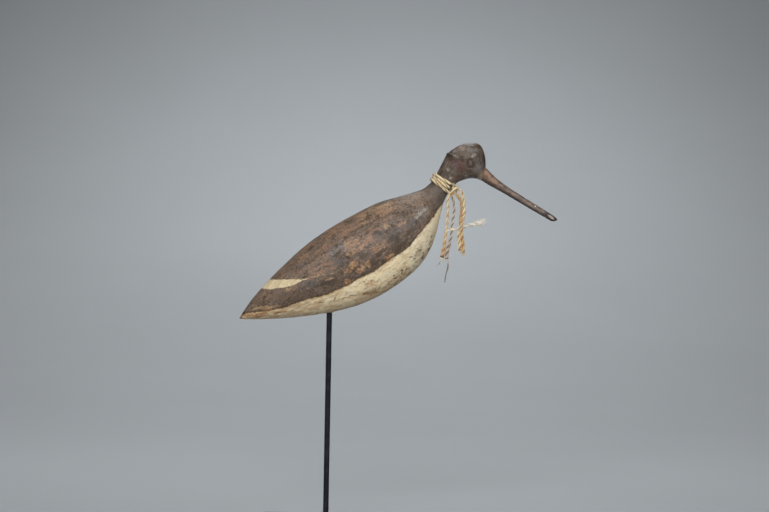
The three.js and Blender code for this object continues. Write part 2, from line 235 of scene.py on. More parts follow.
def screen(red: int, green: int, blue: int) -> tuple[float, float, float, float]:
    """A colour given as it shows on a screen, from 0 to 255, as a shader's linear colour."""
    shares = [value / 255 for value in (red, green, blue)]
    return (*(s / 12.92 if s <= 0.04045 else ((s + 0.055) / 1.055) ** 2.4 for s in shares), 1.0)


def circle(count: int) -> Array:
    """Angles evenly round a circle, in radians."""
    return 2 * np.pi * np.arange(count) / count


def fade(value: Array, low: float, high: float) -> Array:
    """A smooth step from 0 at low to 1 at high."""
    share = np.clip((value - low) / (high - low), 0, 1)
    return share * share * (3 - 2 * share)


def bell(value: Array, width: float | Array) -> Array:
    """1 where a value is 0, falling smoothly to almost 0 at twice the width."""
    return np.exp(-((value / width) ** 2))


def fuller(share: Array, power: float) -> Array:
    """A share of the circle made squarer, so that the flanks are fuller than an ellipse's."""
    return np.sign(share) * np.abs(share) ** power


def stretches(count: int, shares: Array) -> tuple[Array, Array]:
    """The number of the point before each share of a curve, and how far it is to the next."""
    index = np.minimum((np.clip(shares, 0, 1) * (count - 1)).astype(int), count - 2)
    return index, np.clip(shares, 0, 1) * (count - 1) - index


def cubic(ends: tuple[Array, ...], slopes: tuple[Array, ...], step: Array) -> Array:
    """The smooth way between two ends.

    Args:
        ends: The start and the end.
        slopes: The slopes there.
        step: How far along, from 0 to 1.

    Returns:
        The point or value at each step.
    """
    (start, end), (leave, arrive) = ends, slopes
    square = -3 * start + 3 * end - 2 * leave - arrive
    cube = 2 * start - 2 * end + leave + arrive
    return start + leave * step + square * step**2 + cube * step**3


def smooth_line(points: Array, shares: Array) -> Array:
    """Points on the centripetal curve through a list of points.

    Args:
        points: The points that the curve goes through, one a row.
        shares: Places on the curve, from 0 at the first point to 1 at the last.

    Returns:
        One point a row.
    """
    index, step = stretches(len(points), shares)
    padded = np.vstack([2 * points[0] - points[1], points, 2 * points[-1] - points[-2]])
    before, start, end, after = (padded[index + offset] for offset in range(4))
    pairs = ((before, start), (start, end), (end, after))
    gap0, gap1, gap2 = (np.linalg.norm(b - a, axis=1, keepdims=True) ** 0.5 for a, b in pairs)
    leave = ((start - before) / gap0 - (end - before) / (gap0 + gap1) + (end - start) / gap1) * gap1
    arrive = ((end - start) / gap1 - (after - start) / (gap1 + gap2) + (after - end) / gap2) * gap1
    return cubic((start, end), (leave, arrive), step[:, None])


def smooth_value(values: Array, shares: Array) -> Array:
    """Values on the even curve through a list of values.

    Args:
        values: The values that the curve goes through.
        shares: Places on the curve, from 0 to 1.

    Returns:
        One value for each place.
    """
    index, step = stretches(len(values), shares)
    padded = np.concatenate([values[:1], values, values[-1:]])
    before, start, end, after = (padded[index + offset] for offset in range(4))
    return cubic((start, end), ((end - before) / 2, (after - start) / 2), step)


def travelled(line: Array) -> Array:
    """How far along a line each of its points is."""
    return np.concatenate([[0], np.cumsum(np.linalg.norm(np.diff(line, axis=0), axis=1))])


def past(x: Array, z: Array, from_x: float, from_z: float, way_x: float, way_z: float) -> Array:
    """How far points are past a straight line through a point in the side view, along a direction."""
    return (x - from_x) * way_x + (z - from_z) * way_z


def line_distance(x: Array, z: Array, line: list[Pair]) -> Array:
    """Signed distance from a line in the side view.

    Args:
        x: X of each point.
        z: Z of each point.
        line: The line's corners, in the same unit as x and z.

    Returns:
        The distance of each point, positive on the left of the line's direction.
    """
    best = np.full(len(x), np.inf)
    signed = np.zeros(len(x))
    for (ax, az), (bx, bz) in zip(line[:-1], line[1:]):
        dx, dz = bx - ax, bz - az
        share = np.clip(((x - ax) * dx + (z - az) * dz) / (dx * dx + dz * dz), 0, 1)
        gap = np.hypot(x - ax - share * dx, z - az - share * dz)
        side = np.sign(dx * (z - az) - dz * (x - ax))
        signed = np.where(gap < best, side * gap, signed)
        best = np.minimum(gap, best)
    return signed


def inside_distance(x: Array, z: Array, ring: list[Pair]) -> Array:
    """Signed distance from a closed outline in the side view, positive inside it.

    Args:
        x: X of each point.
        z: Z of each point.
        ring: The outline's corners, in the same unit as x and z.

    Returns:
        The distance of each point.
    """
    closed = [*ring, ring[0]]
    gap = np.abs(line_distance(x, z, closed))
    inside = np.zeros(len(x), bool)
    for (ax, az), (bx, bz) in zip(closed[:-1], closed[1:]):
        if az == bz:
            continue
        crosses = (z < az) != (z < bz)
        inside ^= crosses & (x < ax + (z - az) * (bx - ax) / (bz - az))
    return np.where(inside, gap, -gap)


@dataclass(frozen=True)
class LatticeNoise:
    """Smooth noise between -1 and 1 from a seeded lattice.

    Attributes:
        seed: The seed of its random values.
        step: The lattice's steps in metres, one for all axes or one for each.
        cells: Lattice points along each side before it repeats.
    """

    seed: int
    step: float | Point
    cells: int = 32

    def at(self, points: Array) -> Array:
        """The noise at points.

        Args:
            points: One point a row, in metres.

        Returns:
            One value for each point.
        """
        table = np.random.default_rng(self.seed).uniform(-1, 1, (self.cells,) * 3)
        places = points / np.array(self.step)
        low = np.floor(places).astype(int)
        share = fade(places - low, 0, 1)
        total = np.zeros(len(places))
        for corner in np.ndindex(2, 2, 2):
            weight = np.prod(np.where(np.array(corner) == 1, share, 1 - share), axis=1)
            cell = (low + np.array(corner)) % self.cells
            total += weight * table[cell[:, 0], cell[:, 1], cell[:, 2]]
        return total


def turned_down(x: Array, z: Array, slope: float) -> tuple[Array, Array]:
    """X and Z measured along and across a slope in the side view, given in degrees."""
    turn = math.radians(slope)
    return x * math.cos(turn) + z * math.sin(turn), z * math.cos(turn) - x * math.sin(turn)


def along_grain(points: Array, slope: float) -> Array:
    """Points turned in the side view, so that the first column runs along the grain."""
    along, across = turned_down(points[:, 0], points[:, 2], slope)
    return np.column_stack([along, points[:, 1], across])


class Wear(Enum):
    """Kinds of worn or stained places on the paint, and of painted highlights and painted shadow, named as
    their layers on the mesh are.
    """

    TAN = "worn_tan"
    RUBBED = "rubbed"
    ORANGE = "bare_orange"
    # painted highlights, in places paler paint
    PAINTED_SHEEN = "sheen"
    FLECK = "fleck"
    SLATE = "slate"
    # dark grime, and painted shade at the front of the forehead
    SOOT_AND_SHADE = "soot"
    SCRATCH = "scratch"
    STAIN = "stain"
    RED = "red_wood"
    # pale spots, and painted highlights on the brow, the crown's ledge and the shoulder
    SPOT = "pale_spot"
    # painted shadow under the crown's ledge
    PAINTED_SHADOW = "deep_shadow"


@dataclass(frozen=True)
class Mark:
    """One worn or stained place, or a painted highlight or shadow, an ellipse in the side view: in
    millimetres, with its tilt in degrees.
    """

    x: float
    z: float
    length: float
    width: float
    tilt: float

    def field(self, x: Array, z: Array) -> Array:
        """How deep inside the mark points in millimetres are: 1 in its middle, 0 on its edge, down to -1."""
        along, across = turned_down(x - self.x, z - self.z, self.tilt)
        return np.maximum(1 - np.hypot(along / (self.length / 2), across / (self.width / 2)), -1)


# Worn and stained places, painted highlights and painted shadows by kind: X and Z of the middle, length and
# width in millimetres, tilt
MARKS = {
    Wear.TAN: [
        (31.5, 239.2, 8.0, 5.2, 45), (21.4, 240.0, 8.0, 3.0, 50), (53.4, 248.6, 5.6, 4.2, 35),
        (30.3, 277.6, 6.3, 2.0, 8), (29.1, 284.2, 7.2, 1.8, 15), (43.2, 291.4, 21.7, 2.7, 18),
        (50.4, 273.9, 5.4, 3.6, 20), (15.4, 257.9, 5.4, 2.7, 20), (0.2, 226.8, 8.0, 1.6, 20),
        (-10.5, 229.0, 24.0, 1.7, 11), (-34.8, 217.6, 9.0, 3.4, 15), (-58.0, 199.5, 26.0, 2.4, 8),
    ],
    Wear.RUBBED: [
        (47.4, 288.4, 24.0, 6.0, 20),
        (29.2, 281.4, 6.3, 2.7, 10), (43.3, 287.2, 10.9, 2.7, 17), (64.2, 276.4, 9.0, 3.0, 25),
        (23.0, 260.4, 15.0, 9.0, 42), (30.2, 258.5, 16.7, 3.7, 45), (32.6, 263.7, 10.2, 4.6, 50),
        (45.2, 256.4, 14.9, 5.1, 30), (19.0, 250.4, 7.4, 5.5, 20), (117.9, 347.0, 6.0, 2.4, 15),
    ],
    Wear.ORANGE: [
        (-54.0, 198.0, 17.0, 1.7, 11),
        (20.6, 238.4, 12.8, 4.8, 50), (15.4, 234.2, 6.0, 2.4, 40), (33.6, 241.8, 7.4, 4.6, 50),
        (30.0, 238.0, 9.6, 5.0, 42), (26.9, 233.8, 5.5, 2.4, 10), (53.5, 247.9, 8.6, 4.8, 38),
        (17.2, 224.2, 8.2, 4.2, 24), (36.7, 224.2, 12.6, 4.4, 16), (34.8, 223.6, 7.0, 3.0, 22),
        (38.6, 224.9, 7.4, 3.2, 12), (37.4, 214.4, 10.0, 2.4, 15), (-68.4, 192.8, 22.3, 2.6, 8),
        (-44.0, 196.0, 16.0, 1.4, 8), (14.0, 209.8, 9.0, 1.4, 12), (70.2, 231.4, 5.0, 1.6, 30),
        (-40.0, 200.4, 14.0, 1.3, 12),
    ],
    # Painted highlights on the shoulder, the back, the crown, the neck's back edge and the face; some on the
    # crown are paler paint
    Wear.PAINTED_SHEEN: [
        (80.7, 286.8, 12.1, 8.2, 35), (6.5, 252.2, 18.1, 7.2, 35), (120.1, 350.2, 19.0, 4.4, 12),
        (110.0, 343.4, 4.0, 2.6, 50), (103.2, 331.5, 6.4, 1.3, 62), (127.0, 344.6, 12.0, 4.0, 0),
        (133.4, 332.0, 13.0, 6.0, 82), (115.6, 345.1, 8.6, 2.2, 15),
    ],
    Wear.FLECK: [
        (77.4, 283.2, 1.4, 1.1, 20),
    ],
    # Dark grime, and painted shade in the thin strip along the front of the forehead
    Wear.SOOT_AND_SHADE: [
        (104.8, 323.6, 9.0, 4.6, 62), (30.4, 230.6, 12.0, 3.0, 28), (63.4, 247.6, 10.0, 3.4, 42),
        (107.6, 329.6, 10.0, 4.4, 60), (101.6, 322.0, 10.0, 2.6, 62), (20.7, 234.4, 8.2, 3.6, 30),
        (38.5, 241.0, 9.2, 7.2, 30), (49.6, 241.9, 9.0, 5.0, 35), (28.6, 248.5, 8.2, 6.3, 40),
        (56.1, 264.2, 10.1, 6.4, 30), (62.0, 256.0, 14.0, 5.0, 42), (42.6, 268.4, 8.4, 5.4, 20),
        (60.4, 260.6, 6.4, 5.0, 30), (33.0, 267.8, 6.0, 4.0, 30), (136.6, 340.5, 18.0, 2.0, 82),
        (-2.0, 224.0, 20.0, 6.0, 22), (71.6, 270.6, 9.0, 4.0, 40),
    ],
    Wear.SLATE: [
        (43.7, 267.5, 12.9, 6.4, 25), (73.9, 277.0, 9.2, 6.4, 25), (54.0, 264.9, 8.2, 4.6, 30),
        (-16.4, 222.3, 12.9, 6.4, 15), (61.0, 271.0, 12.0, 5.0, 30), (10.2, 241.1, 9.0, 5.0, 30),
        (-23.8, 238.9, 8.0, 5.0, 30), (25.8, 265.5, 10.0, 6.0, 30),
    ],
    Wear.SCRATCH: [
        (-80.2, 190.4, 4.4, 3.4, 20), (-46.0, 195.0, 9.0, 0.9, 12), (-66.0, 190.9, 12.0, 1.0, 4),
        (33.1, 222.9, 4.5, 0.8, 28), (59.2, 228.9, 7.2, 1.4, 24), (75.9, 246.6, 3.2, 1.0, 25),
        (89.6, 258.6, 2.7, 1.8, 60), (32.9, 213.9, 5.4, 1.6, 20), (21.1, 212.2, 8.2, 1.1, 5),
        (65.0, 232.6, 2.0, 1.4, 60), (64.6, 235.8, 2.2, 1.2, -60), (5.1, 209.0, 4.4, 1.0, 70),
        (-6.0, 205.6, 7.0, 1.0, 12), (48.5, 219.4, 3.6, 1.0, 24), (54.9, 222.2, 4.2, 0.9, 30),
        (61.2, 225.4, 3.4, 1.1, 30), (72.1, 233.5, 4.0, 1.1, 40), (77.5, 238.9, 3.6, 1.2, 50),
        (44.0, 215.6, 3.0, 0.8, 20), (83.0, 247.0, 3.2, 1.0, 58), (80.5, 254.1, 3.4, 1.6, 45),
        (72.6, 247.5, 4.0, 0.9, 15), (86.6, 262.0, 2.6, 1.1, 60), (91.0, 266.4, 3.2, 1.0, 70),
        (83.6, 251.4, 2.8, 1.3, 50), (77.8, 243.4, 2.8, 1.0, 40), (69.6, 236.8, 3.0, 1.2, 40),
        (57.4, 230.4, 3.0, 1.0, 30), (88.6, 254.8, 3.0, 1.1, 66),
    ],
    Wear.STAIN: [
        (67.1, 234.6, 5.4, 4.5, 0), (81.8, 257.6, 6.0, 5.0, 40), (37.6, 216.1, 12.7, 2.7, 12),
        (85.5, 249.0, 16.0, 3.6, 60), (78.6, 250.6, 13.0, 4.6, 50), (90.6, 262.0, 15.0, 2.6, 72),
    ],
    Wear.RED: [
        (114.0, 332.4, 15.0, 7.4, -28), (113.6, 320.6, 5.0, 2.4, 0),
    ],
    # Painted shadow under the crown's ledge and beside the nub behind it
    Wear.PAINTED_SHADOW: [
        (109.5, 336.6, 10.6, 4.0, -26), (104.3, 341.0, 2.2, 2.6, 0),
    ],
    # Pale spots on the neck and nape, and painted highlights on the shoulder, the brow and the lip of the
    # crown's ledge
    Wear.SPOT: [
        (107.5, 318.8, 2.6, 2.4, 0), (120.6, 321.3, 2.4, 1.8, 10), (124.0, 319.4, 1.9, 1.5, 0),
        (79.6, 285.6, 8.0, 4.2, 42), (84.4, 289.4, 5.0, 2.6, 48), (76.4, 282.6, 3.4, 2.2, 30),
        (105.4, 314.6, 2.4, 1.8, 20), (112.0, 314.9, 3.0, 1.6, 15), (127.8, 340.0, 4.2, 2.9, 25),
        (110.6, 339.2, 7.6, 1.5, -28), (104.6, 326.8, 2.6, 2.4, 0),
    ],
}

# Kinds of mark with a fine edge, and how far the noise moves the edges of fine and of other marks
FINE_EDGED = (Wear.SPOT, Wear.PAINTED_SHADOW, Wear.FLECK, Wear.SCRATCH)
FINE_SWING, BROAD_SWING = 0.9, 2.6

# How far the marks on the bird's left are moved, in millimetres
FAR_SHIFT = (-11.0, -8.0)

# Steps in which a carving's length is measured
FINE_STEPS = 4000


def field_of(wear: Wear, points: Array) -> Array:
    """How deep inside marks of one kind points are.

    Args:
        wear: The kind of mark.
        points: One point a row, in metres.

    Returns:
        One value for each point, from 1 in a mark's middle to -1.
    """
    far = points[:, 1] > 0
    reach = FINE_SWING if wear in FINE_EDGED else BROAD_SWING
    places = []
    for axis, shift, seed in ((0, FAR_SHIFT[0], 41), (2, FAR_SHIFT[1], 42)):
        sway = LatticeNoise(seed, 0.0028).at(points) + 0.4 * LatticeNoise(seed + 2, 0.0012).at(points)
        places.append((points[:, axis] / MM + np.where(far, shift, 0), sway))
    (x, sway_x), (z, sway_z) = places
    fields = []
    for mark in (Mark(*numbers) for numbers in MARKS[wear]):
        swing = min(reach, 0.5 * mark.width)
        fields.append(mark.field(x + swing * sway_x, z + swing * sway_z))
    return np.maximum.reduce(fields)


def widened(sections: list[tuple], half_width: float) -> tuple[tuple[float, ...], ...]:
    """Sections with their half widths in metres instead of shares."""
    return tuple((*section[:4], section[4] * half_width) for section in sections)


@dataclass(frozen=True)
class Carving:
    """A solid carved to a list of sections.

    Attributes:
        sections: Back and belly point as shares of the bird's length, and the half width in metres.
        power: How full the sections are. 1 is an ellipse.
    """

    sections: tuple[tuple[float, ...], ...]
    power: float = 1.0

    def edge(self, first: int, shares: Array) -> Array:
        """Points in metres on the edge of the side view whose X is in a column of the sections."""
        x, z = np.array(self.sections)[:, first : first + 2].T * BIRD_LENGTH
        return smooth_line(np.column_stack([x, 0 * x, BELLY_HEIGHT + z]), shares)

    def section(self, shares: Array) -> tuple[Array, Array, Array]:
        """The middles, the half heights as vectors, and the half widths at shares of the carving."""
        upper, lower = self.edge(0, shares), self.edge(2, shares)
        return (upper + lower) / 2, (upper - lower) / 2, smooth_value(np.array(self.sections)[:, 4], shares)

    def even_shares(self, count: int) -> Array:
        """Shares at which a number of rings stand evenly.

        Args:
            count: The number of rings.

        Returns:
            The shares, from 0 to 1.
        """
        fine = np.linspace(0, 1, FINE_STEPS)
        steps = [np.diff(travelled(self.edge(first, fine))) for first in (0, 2)]
        along = np.concatenate([[0], np.cumsum(np.maximum(*steps))])
        return np.interp(np.linspace(0, along[-1], count), along, fine)

    def rings(self, shares: Array, sides: int, grow: float = 0.0) -> Array:
        """Rings of points on the carving, starting on its back.

        Args:
            shares: Places of the rings.
            sides: Points in each ring.
            grow: How much the shape is grown outwards, in metres.

        Returns:
            An array of rings, points and coordinates.
        """
        middle, rise, half_width = self.section(shares)
        height = np.linalg.norm(rise, axis=1, keepdims=True)
        grown = rise * (height + grow) / height
        points = middle[:, None] + grown[:, None] * fuller(np.cos(circle(sides)), self.power)[None, :, None]
        points[:, :, 1] = (half_width + grow)[:, None] * fuller(np.sin(circle(sides)), self.power)[None]
        return points


def put(name: str, data: bpy.types.ID) -> Piece:
    """Puts a mesh, a light or a camera in the scene.

    Args:
        name: The object's name.
        data: What it shows.

    Returns:
        The object.
    """
    made = bpy.data.objects.new(name, data)
    bpy.context.scene.collection.objects.link(made)
    return made


def mesh_vectors(mesh: bpy.types.Mesh, kind: str = "co") -> Array:
    """The places of a mesh's vertices, or their normals.

    Args:
        mesh: The mesh.
        kind: "co" for places, "normal" for normals.

    Returns:
        One vector a row.
    """
    values = np.zeros(len(mesh.vertices) * 3)
    mesh.vertices.foreach_get(kind, values)
    return values.reshape(-1, 3)


def new_piece(name: str, vertices: Array, faces: list, closed: bool = True) -> Piece:
    """A smooth mesh object in the scene.

    Args:
        name: The piece's name.
        vertices: One vertex a row, in metres.
        faces: The faces' vertex numbers.
        closed: Whether the mesh is closed, so that its faces are made to point out.

    Returns:
        The object.
    """
    mesh = bpy.data.meshes.new(name)
    mesh.from_pydata(vertices.tolist(), [], faces)
    mesh.update()
    mesh.shade_smooth()
    if closed:
        mesh.calc_loop_triangles()
        corners = np.zeros(len(mesh.loop_triangles) * 3, int)
        mesh.loop_triangles.foreach_get("vertices", corners)
        a, b, c = (mesh_vectors(mesh)[corners.reshape(-1, 3)[:, corner]] for corner in range(3))
        if np.einsum("ij,ij->i", a, np.cross(b, c)).sum() < 0:
            mesh.flip_normals()
    return put(name, mesh)


def grid_faces(rings: int, sides: int) -> list[tuple[int, ...]]:
    """Four-sided faces between closed rings of points, from their numbers of rings and of sides."""
    rows = [(ring * sides, side, (side + 1) % sides) for ring in range(rings - 1) for side in range(sides)]
    return [(row + side, row + after, row + sides + after, row + sides + side) for row, side, after in rows]


def closed_loft(
    rings: Array, start_bulge: float = 0.0, end_bulge: float = 0.0, cap_rings: int = 1
) -> tuple[Array, list]:
    """Vertices and faces of a closed loft with rounded ends.

    Args:
        rings: An array of rings, points and coordinates.
        start_bulge: How far the first end bulges out, in metres.
        end_bulge: How far the last end bulges out, in metres.
        cap_rings: Rings in each end.

    Returns:
        The vertices, one a row, and the faces.
    """
    sides = rings.shape[1]
    caps = []
    for ring, inner, bulge in ((rings[0], rings[1], start_bulge), (rings[-1], rings[-2], end_bulge)):
        middle = ring.mean(axis=0)
        outward = middle - inner.mean(axis=0)
        outward /= np.linalg.norm(outward)
        angles = [0.5 * math.pi * step / (cap_rings + 1) for step in range(1, cap_rings + 1)]
        cap = [middle + (ring - middle) * math.cos(a) + outward * bulge * math.sin(a) for a in angles]
        caps.append((np.array(cap), middle + outward * bulge))
    (start_cap, start_pole), (end_cap, end_pole) = caps
    stack = np.concatenate([start_cap[::-1], rings, end_cap])
    vertices = np.vstack([stack.reshape(-1, 3), start_pole, end_pole])
    faces = grid_faces(len(stack), sides)
    first_pole, last_pole = len(vertices) - 2, len(vertices) - 1
    last_row = (len(stack) - 1) * sides
    for side, after in ((side, (side + 1) % sides) for side in range(sides)):
        faces += [(first_pole, after, side), (last_pole, last_row + side, last_row + after)]
    return vertices, faces


def push_out(piece: Piece, amounts: Array) -> None:
    """Moves each vertex along its normal.

    Args:
        piece: The object.
        amounts: How far each vertex moves, in metres.
    """
    moved = mesh_vectors(piece.data) + mesh_vectors(piece.data, "normal") * amounts[:, None]
    piece.data.vertices.foreach_set("co", moved.ravel())
    piece.data.update()


def write_layers(piece: Piece, **layers: Array) -> None:
    """Writes layers of values on the vertices, which the materials read.

    Args:
        piece: The object.
        **layers: One number or one vector for each vertex, by the layer's name.
    """
    for name, values in layers.items():
        kind, key = ("FLOAT", "value") if values.ndim == 1 else ("FLOAT_VECTOR", "vector")
        layer = piece.data.attributes.new(name, kind, "POINT")
        layer.data.foreach_set(key, values.astype(np.float32).ravel())


def cut_away(piece: Piece, cutters: list[Piece]) -> None:
    """Cuts closed shapes out of a piece and removes the shapes.

    Args:
        piece: The object that is cut.
        cutters: The shapes.
    """
    for cutter in cutters:
        cut = piece.modifiers.new("cut", "BOOLEAN")
        cut.operation = "DIFFERENCE"
        cut.solver = "MANIFOLD"
        cut.object = cutter
    bpy.context.view_layer.update()
    evaluated = piece.evaluated_get(bpy.context.evaluated_depsgraph_get())
    old, piece.data = piece.data, bpy.data.meshes.new_from_object(evaluated)
    piece.modifiers.clear()
    bpy.data.meshes.remove(old)
    piece.data.name = piece.name
    for cutter in cutters:
        bpy.data.objects.remove(cutter)


def dress(piece: Piece, material: Material) -> None:
    """Gives a piece its material and its body.

    Args:
        piece: The object.
        material: Its material.
    """
    piece.data.materials.clear()
    piece.data.materials.append(material)
    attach(piece, BODY)
    log.info("%s: %d vertices", piece.name, len(piece.data.vertices))


class Nodes:
    """A shader tree with short calls that add nodes to it."""

    def __init__(self, tree: bpy.types.NodeTree) -> None:
        """Starts on the tree of a material or of a group."""
        self.tree = tree

    def feed(self, node: bpy.types.Node, inputs: dict) -> None:
        """Sets or links a node's inputs.

        Args:
            node: The node.
            inputs: Values or sockets for its inputs, by name or number.
        """
        for name, value in inputs.items():
            if isinstance(value, Socket):
                self.tree.links.new(value, node.inputs[name])
            else:
                node.inputs[name].default_value = value

    def add(self, kind: str, inputs: dict | None = None, **settings: object) -> bpy.types.Node:
        """Adds a node.

        Args:
            kind: The node's type.
            inputs: Values or sockets for its inputs, by name or number.
            **settings: The node's own settings.

        Returns:
            The node.
        """
        node = self.tree.nodes.new(kind)
        for name, value in settings.items():
            setattr(node, name, value)
        self.feed(node, inputs or {})
        return node

    def layer(self, name: str, output: str = "Fac") -> Socket:
        """A layer on the mesh, as a value or as a vector."""
        return self.add("ShaderNodeAttribute", attribute_name=name).outputs[output]

    def math(self, operation: str, *values: object) -> Socket:
        """The result of one calculation."""
        return self.add("ShaderNodeMath", dict(enumerate(values)), operation=operation).outputs[0]

    def vector(self, operation: str, *values: object) -> Socket:
        """The result of one calculation with vectors."""
        return self.add("ShaderNodeVectorMath", dict(enumerate(values)), operation=operation).outputs[0]

    def plus(self, *values: object) -> Socket:
        """The sum of values."""
        return functools.reduce(functools.partial(self.math, "ADD"), values)

    def times(self, *values: object) -> Socket:
        """The product of values."""
        return functools.reduce(functools.partial(self.math, "MULTIPLY"), values)

    def mean(self, *values: object) -> Socket:
        """The mean of values."""
        return self.math("DIVIDE", self.plus(*values), float(len(values)))

    def opposite(self, value: object) -> Socket:
        """What a value lacks of 1."""
        return self.math("SUBTRACT", 1.0, value)

    def band(self, values: object, low: object, high: object) -> Socket:
        """A smooth step of a value, or of the mean of several.

        Args:
            values: The value, or a tuple of values.
            low: Where the step is 0. It may be the higher of the two.
            high: Where the step is 1.

        Returns:
            The step, from 0 to 1.
        """
        value = self.mean(*values) if isinstance(values, tuple) else values
        inputs = {"Value": value, "From Min": low, "From Max": high}
        return self.add("ShaderNodeMapRange", inputs, interpolation_type="SMOOTHSTEP").outputs[0]

    def blend(self, share: object, first: object, second: object) -> Socket:
        """A colour between two, by a share."""
        return self.add("ShaderNodeMix", {0: share, 6: first, 7: second}, data_type="RGBA").outputs[2]

    def coats(self, colour: object, *coats: tuple[object, object, float]) -> Socket:
        """A colour with tints laid over it.

        Args:
            colour: The colour.
            *coats: Each tint with its mask and its strength, in the order that they are laid.

        Returns:
            The colour on top.
        """
        for tint, mask, strength in coats:
            colour = self.blend(self.times(mask, strength), colour, tint)
        return colour

    def noise(self, place: object, scale: object, detail: float = 2.0, rough: float = 0.5) -> Socket:
        """Smooth noise from 0 to 1."""
        inputs = {"Vector": place, "Scale": scale, "Detail": detail, "Roughness": rough}
        return self.add("ShaderNodeTexNoise", inputs).outputs["Fac"]


class Effect:
    """A shader node group that several materials share.

    Attributes:
        name: The group's name.
        inputs: Its inputs by name, with a vector's value left out.
        outputs: The names of its outputs.
    """

    name: str = ""
    inputs: dict[str, float | None] = {}
    outputs: tuple[str, ...] = ()

    def __init__(self) -> None:
        """Builds the group once."""
        self.group = bpy.data.node_groups.new(self.name, "ShaderNodeTree")
        add_socket = self.group.interface.new_socket
        for label, value in self.inputs.items():
            kind = "NodeSocketVector" if value is None else "NodeSocketFloat"
            socket = add_socket(name=label, in_out="INPUT", socket_type=kind)
            if value is not None:
                socket.default_value = value
        for label in self.outputs:
            add_socket(name=label, in_out="OUTPUT", socket_type="NodeSocketFloat")
        nodes = Nodes(self.group)
        results = self.build(nodes, nodes.add("NodeGroupInput").outputs)
        nodes.add("NodeGroupOutput", dict(zip(self.outputs, results)))

    def build(self, nodes: Nodes, given: Outputs) -> tuple[Socket, ...]:
        """Builds the inside of the group and gives a socket for each output."""
        raise NotImplementedError

    def use(self, nodes: Nodes, **inputs: object) -> Outputs:
        """The outputs of the group, placed in a material with values or sockets for its inputs."""
        return nodes.add("ShaderNodeGroup", inputs, node_tree=self.group).outputs


class GrainEffect(Effect):
    """Streaks of wood grain or brush marks along a slope in the side view."""

    name = "grain"
    inputs = {"Vector": None, "Slope": 0.0, "Along": 40.0, "Across": 600.0, "Waver": 0.0}
    outputs = ("Streaks", "Lines")

    def build(self, nodes: Nodes, given: Outputs) -> tuple[Socket, ...]:
        """Noise stretched along the slope, and thin dark lines of it.

        Args:
            nodes: The group's tree.
            given: The sockets of its inputs.

        Returns:
            The streaks and the lines.
        """
        turn = {"Vector": given["Vector"], "Angle": given["Slope"]}
        turned = nodes.add("ShaderNodeVectorRotate", turn, rotation_type="Y_AXIS").outputs[0]
        sway = nodes.times(nodes.math("SUBTRACT", nodes.noise(turned, 60.0, 1.0), 0.5), given["Waver"])
        x, y, z = nodes.add("ShaderNodeSeparateXYZ", {0: turned}).outputs
        along, across = given["Along"], given["Across"]
        parts = (nodes.times(x, along), nodes.times(y, across), nodes.times(nodes.plus(z, sway), across))
        stretched = nodes.add("ShaderNodeCombineXYZ", dict(enumerate(parts))).outputs[0]
        streaks = nodes.noise(stretched, 1.0, 4.0, 0.6)
        return streaks, nodes.band(nodes.noise(stretched, 2.3), 0.58, 0.72)


class MottleEffect(Effect):
    """Uneven old paint: broad clouds, patches, fine speckle, grit and cracks."""

    name = "mottle"
    inputs = {"Vector": None, "Size": 1.0}
    outputs = ("Clouds", "Patches", "Speckle", "Grit", "Cracks")

    def build(self, nodes: Nodes, given: Outputs) -> tuple[Socket, ...]:
        """Noise at four sizes and a net of thin cracks.

        Args:
            nodes: The group's tree.
            given: The sockets of its inputs.

        Returns:
            The clouds, the patches, the speckle, the grit and the cracks.
        """
        sized = nodes.vector("MULTIPLY", given["Vector"], given["Size"])
        clouds = nodes.noise(sized, 45.0, 3.0, 0.55)
        patches = nodes.noise(sized, 190.0, 4.0, 0.65)
        speckle = nodes.noise(sized, 620.0, 3.0, 0.7)
        grit = nodes.noise(sized, 1500.0, 2.0, 0.6)
        warp = nodes.add("ShaderNodeTexNoise", {"Vector": sized, "Scale": 300.0}).outputs["Color"]
        net = {"Vector": nodes.vector("MULTIPLY_ADD", warp, (0.003,) * 3, sized), "Scale": 330.0}
        gap = nodes.add("ShaderNodeTexVoronoi", net, feature="DISTANCE_TO_EDGE").outputs["Distance"]
        cracks = nodes.times(nodes.opposite(nodes.band(gap, 0.02, 0.13)), nodes.band(patches, 0.42, 0.6))
        return clouds, patches, speckle, grit, cracks


class RaggedEffect(Effect):
    """A mask with a ragged edge where a field crosses zero."""

    name = "ragged edge"
    inputs = {"Vector": None, "Field": 0.0, "Fineness": 400.0, "Raggedness": 0.5, "Softness": 0.2}
    outputs = ("Mask",)

    def build(self, nodes: Nodes, given: Outputs) -> tuple[Socket, ...]:
        """The field with noise added, cut off at zero.

        Args:
            nodes: The group's tree.
            given: The sockets of its inputs.

        Returns:
            The mask.
        """
        noise = nodes.noise(given["Vector"], given["Fineness"], 4.0, 0.65)
        offset = nodes.times(nodes.math("SUBTRACT", noise, 0.5), given["Raggedness"], 2.0)
        softness = given["Softness"]
        return (nodes.band(nodes.plus(given["Field"], offset), nodes.times(softness, -1.0), softness),)


@dataclass(frozen=True)
class Effects:
    """The shader groups that the finishes share."""

    grain: GrainEffect
    mottle: MottleEffect
    ragged: RaggedEffect


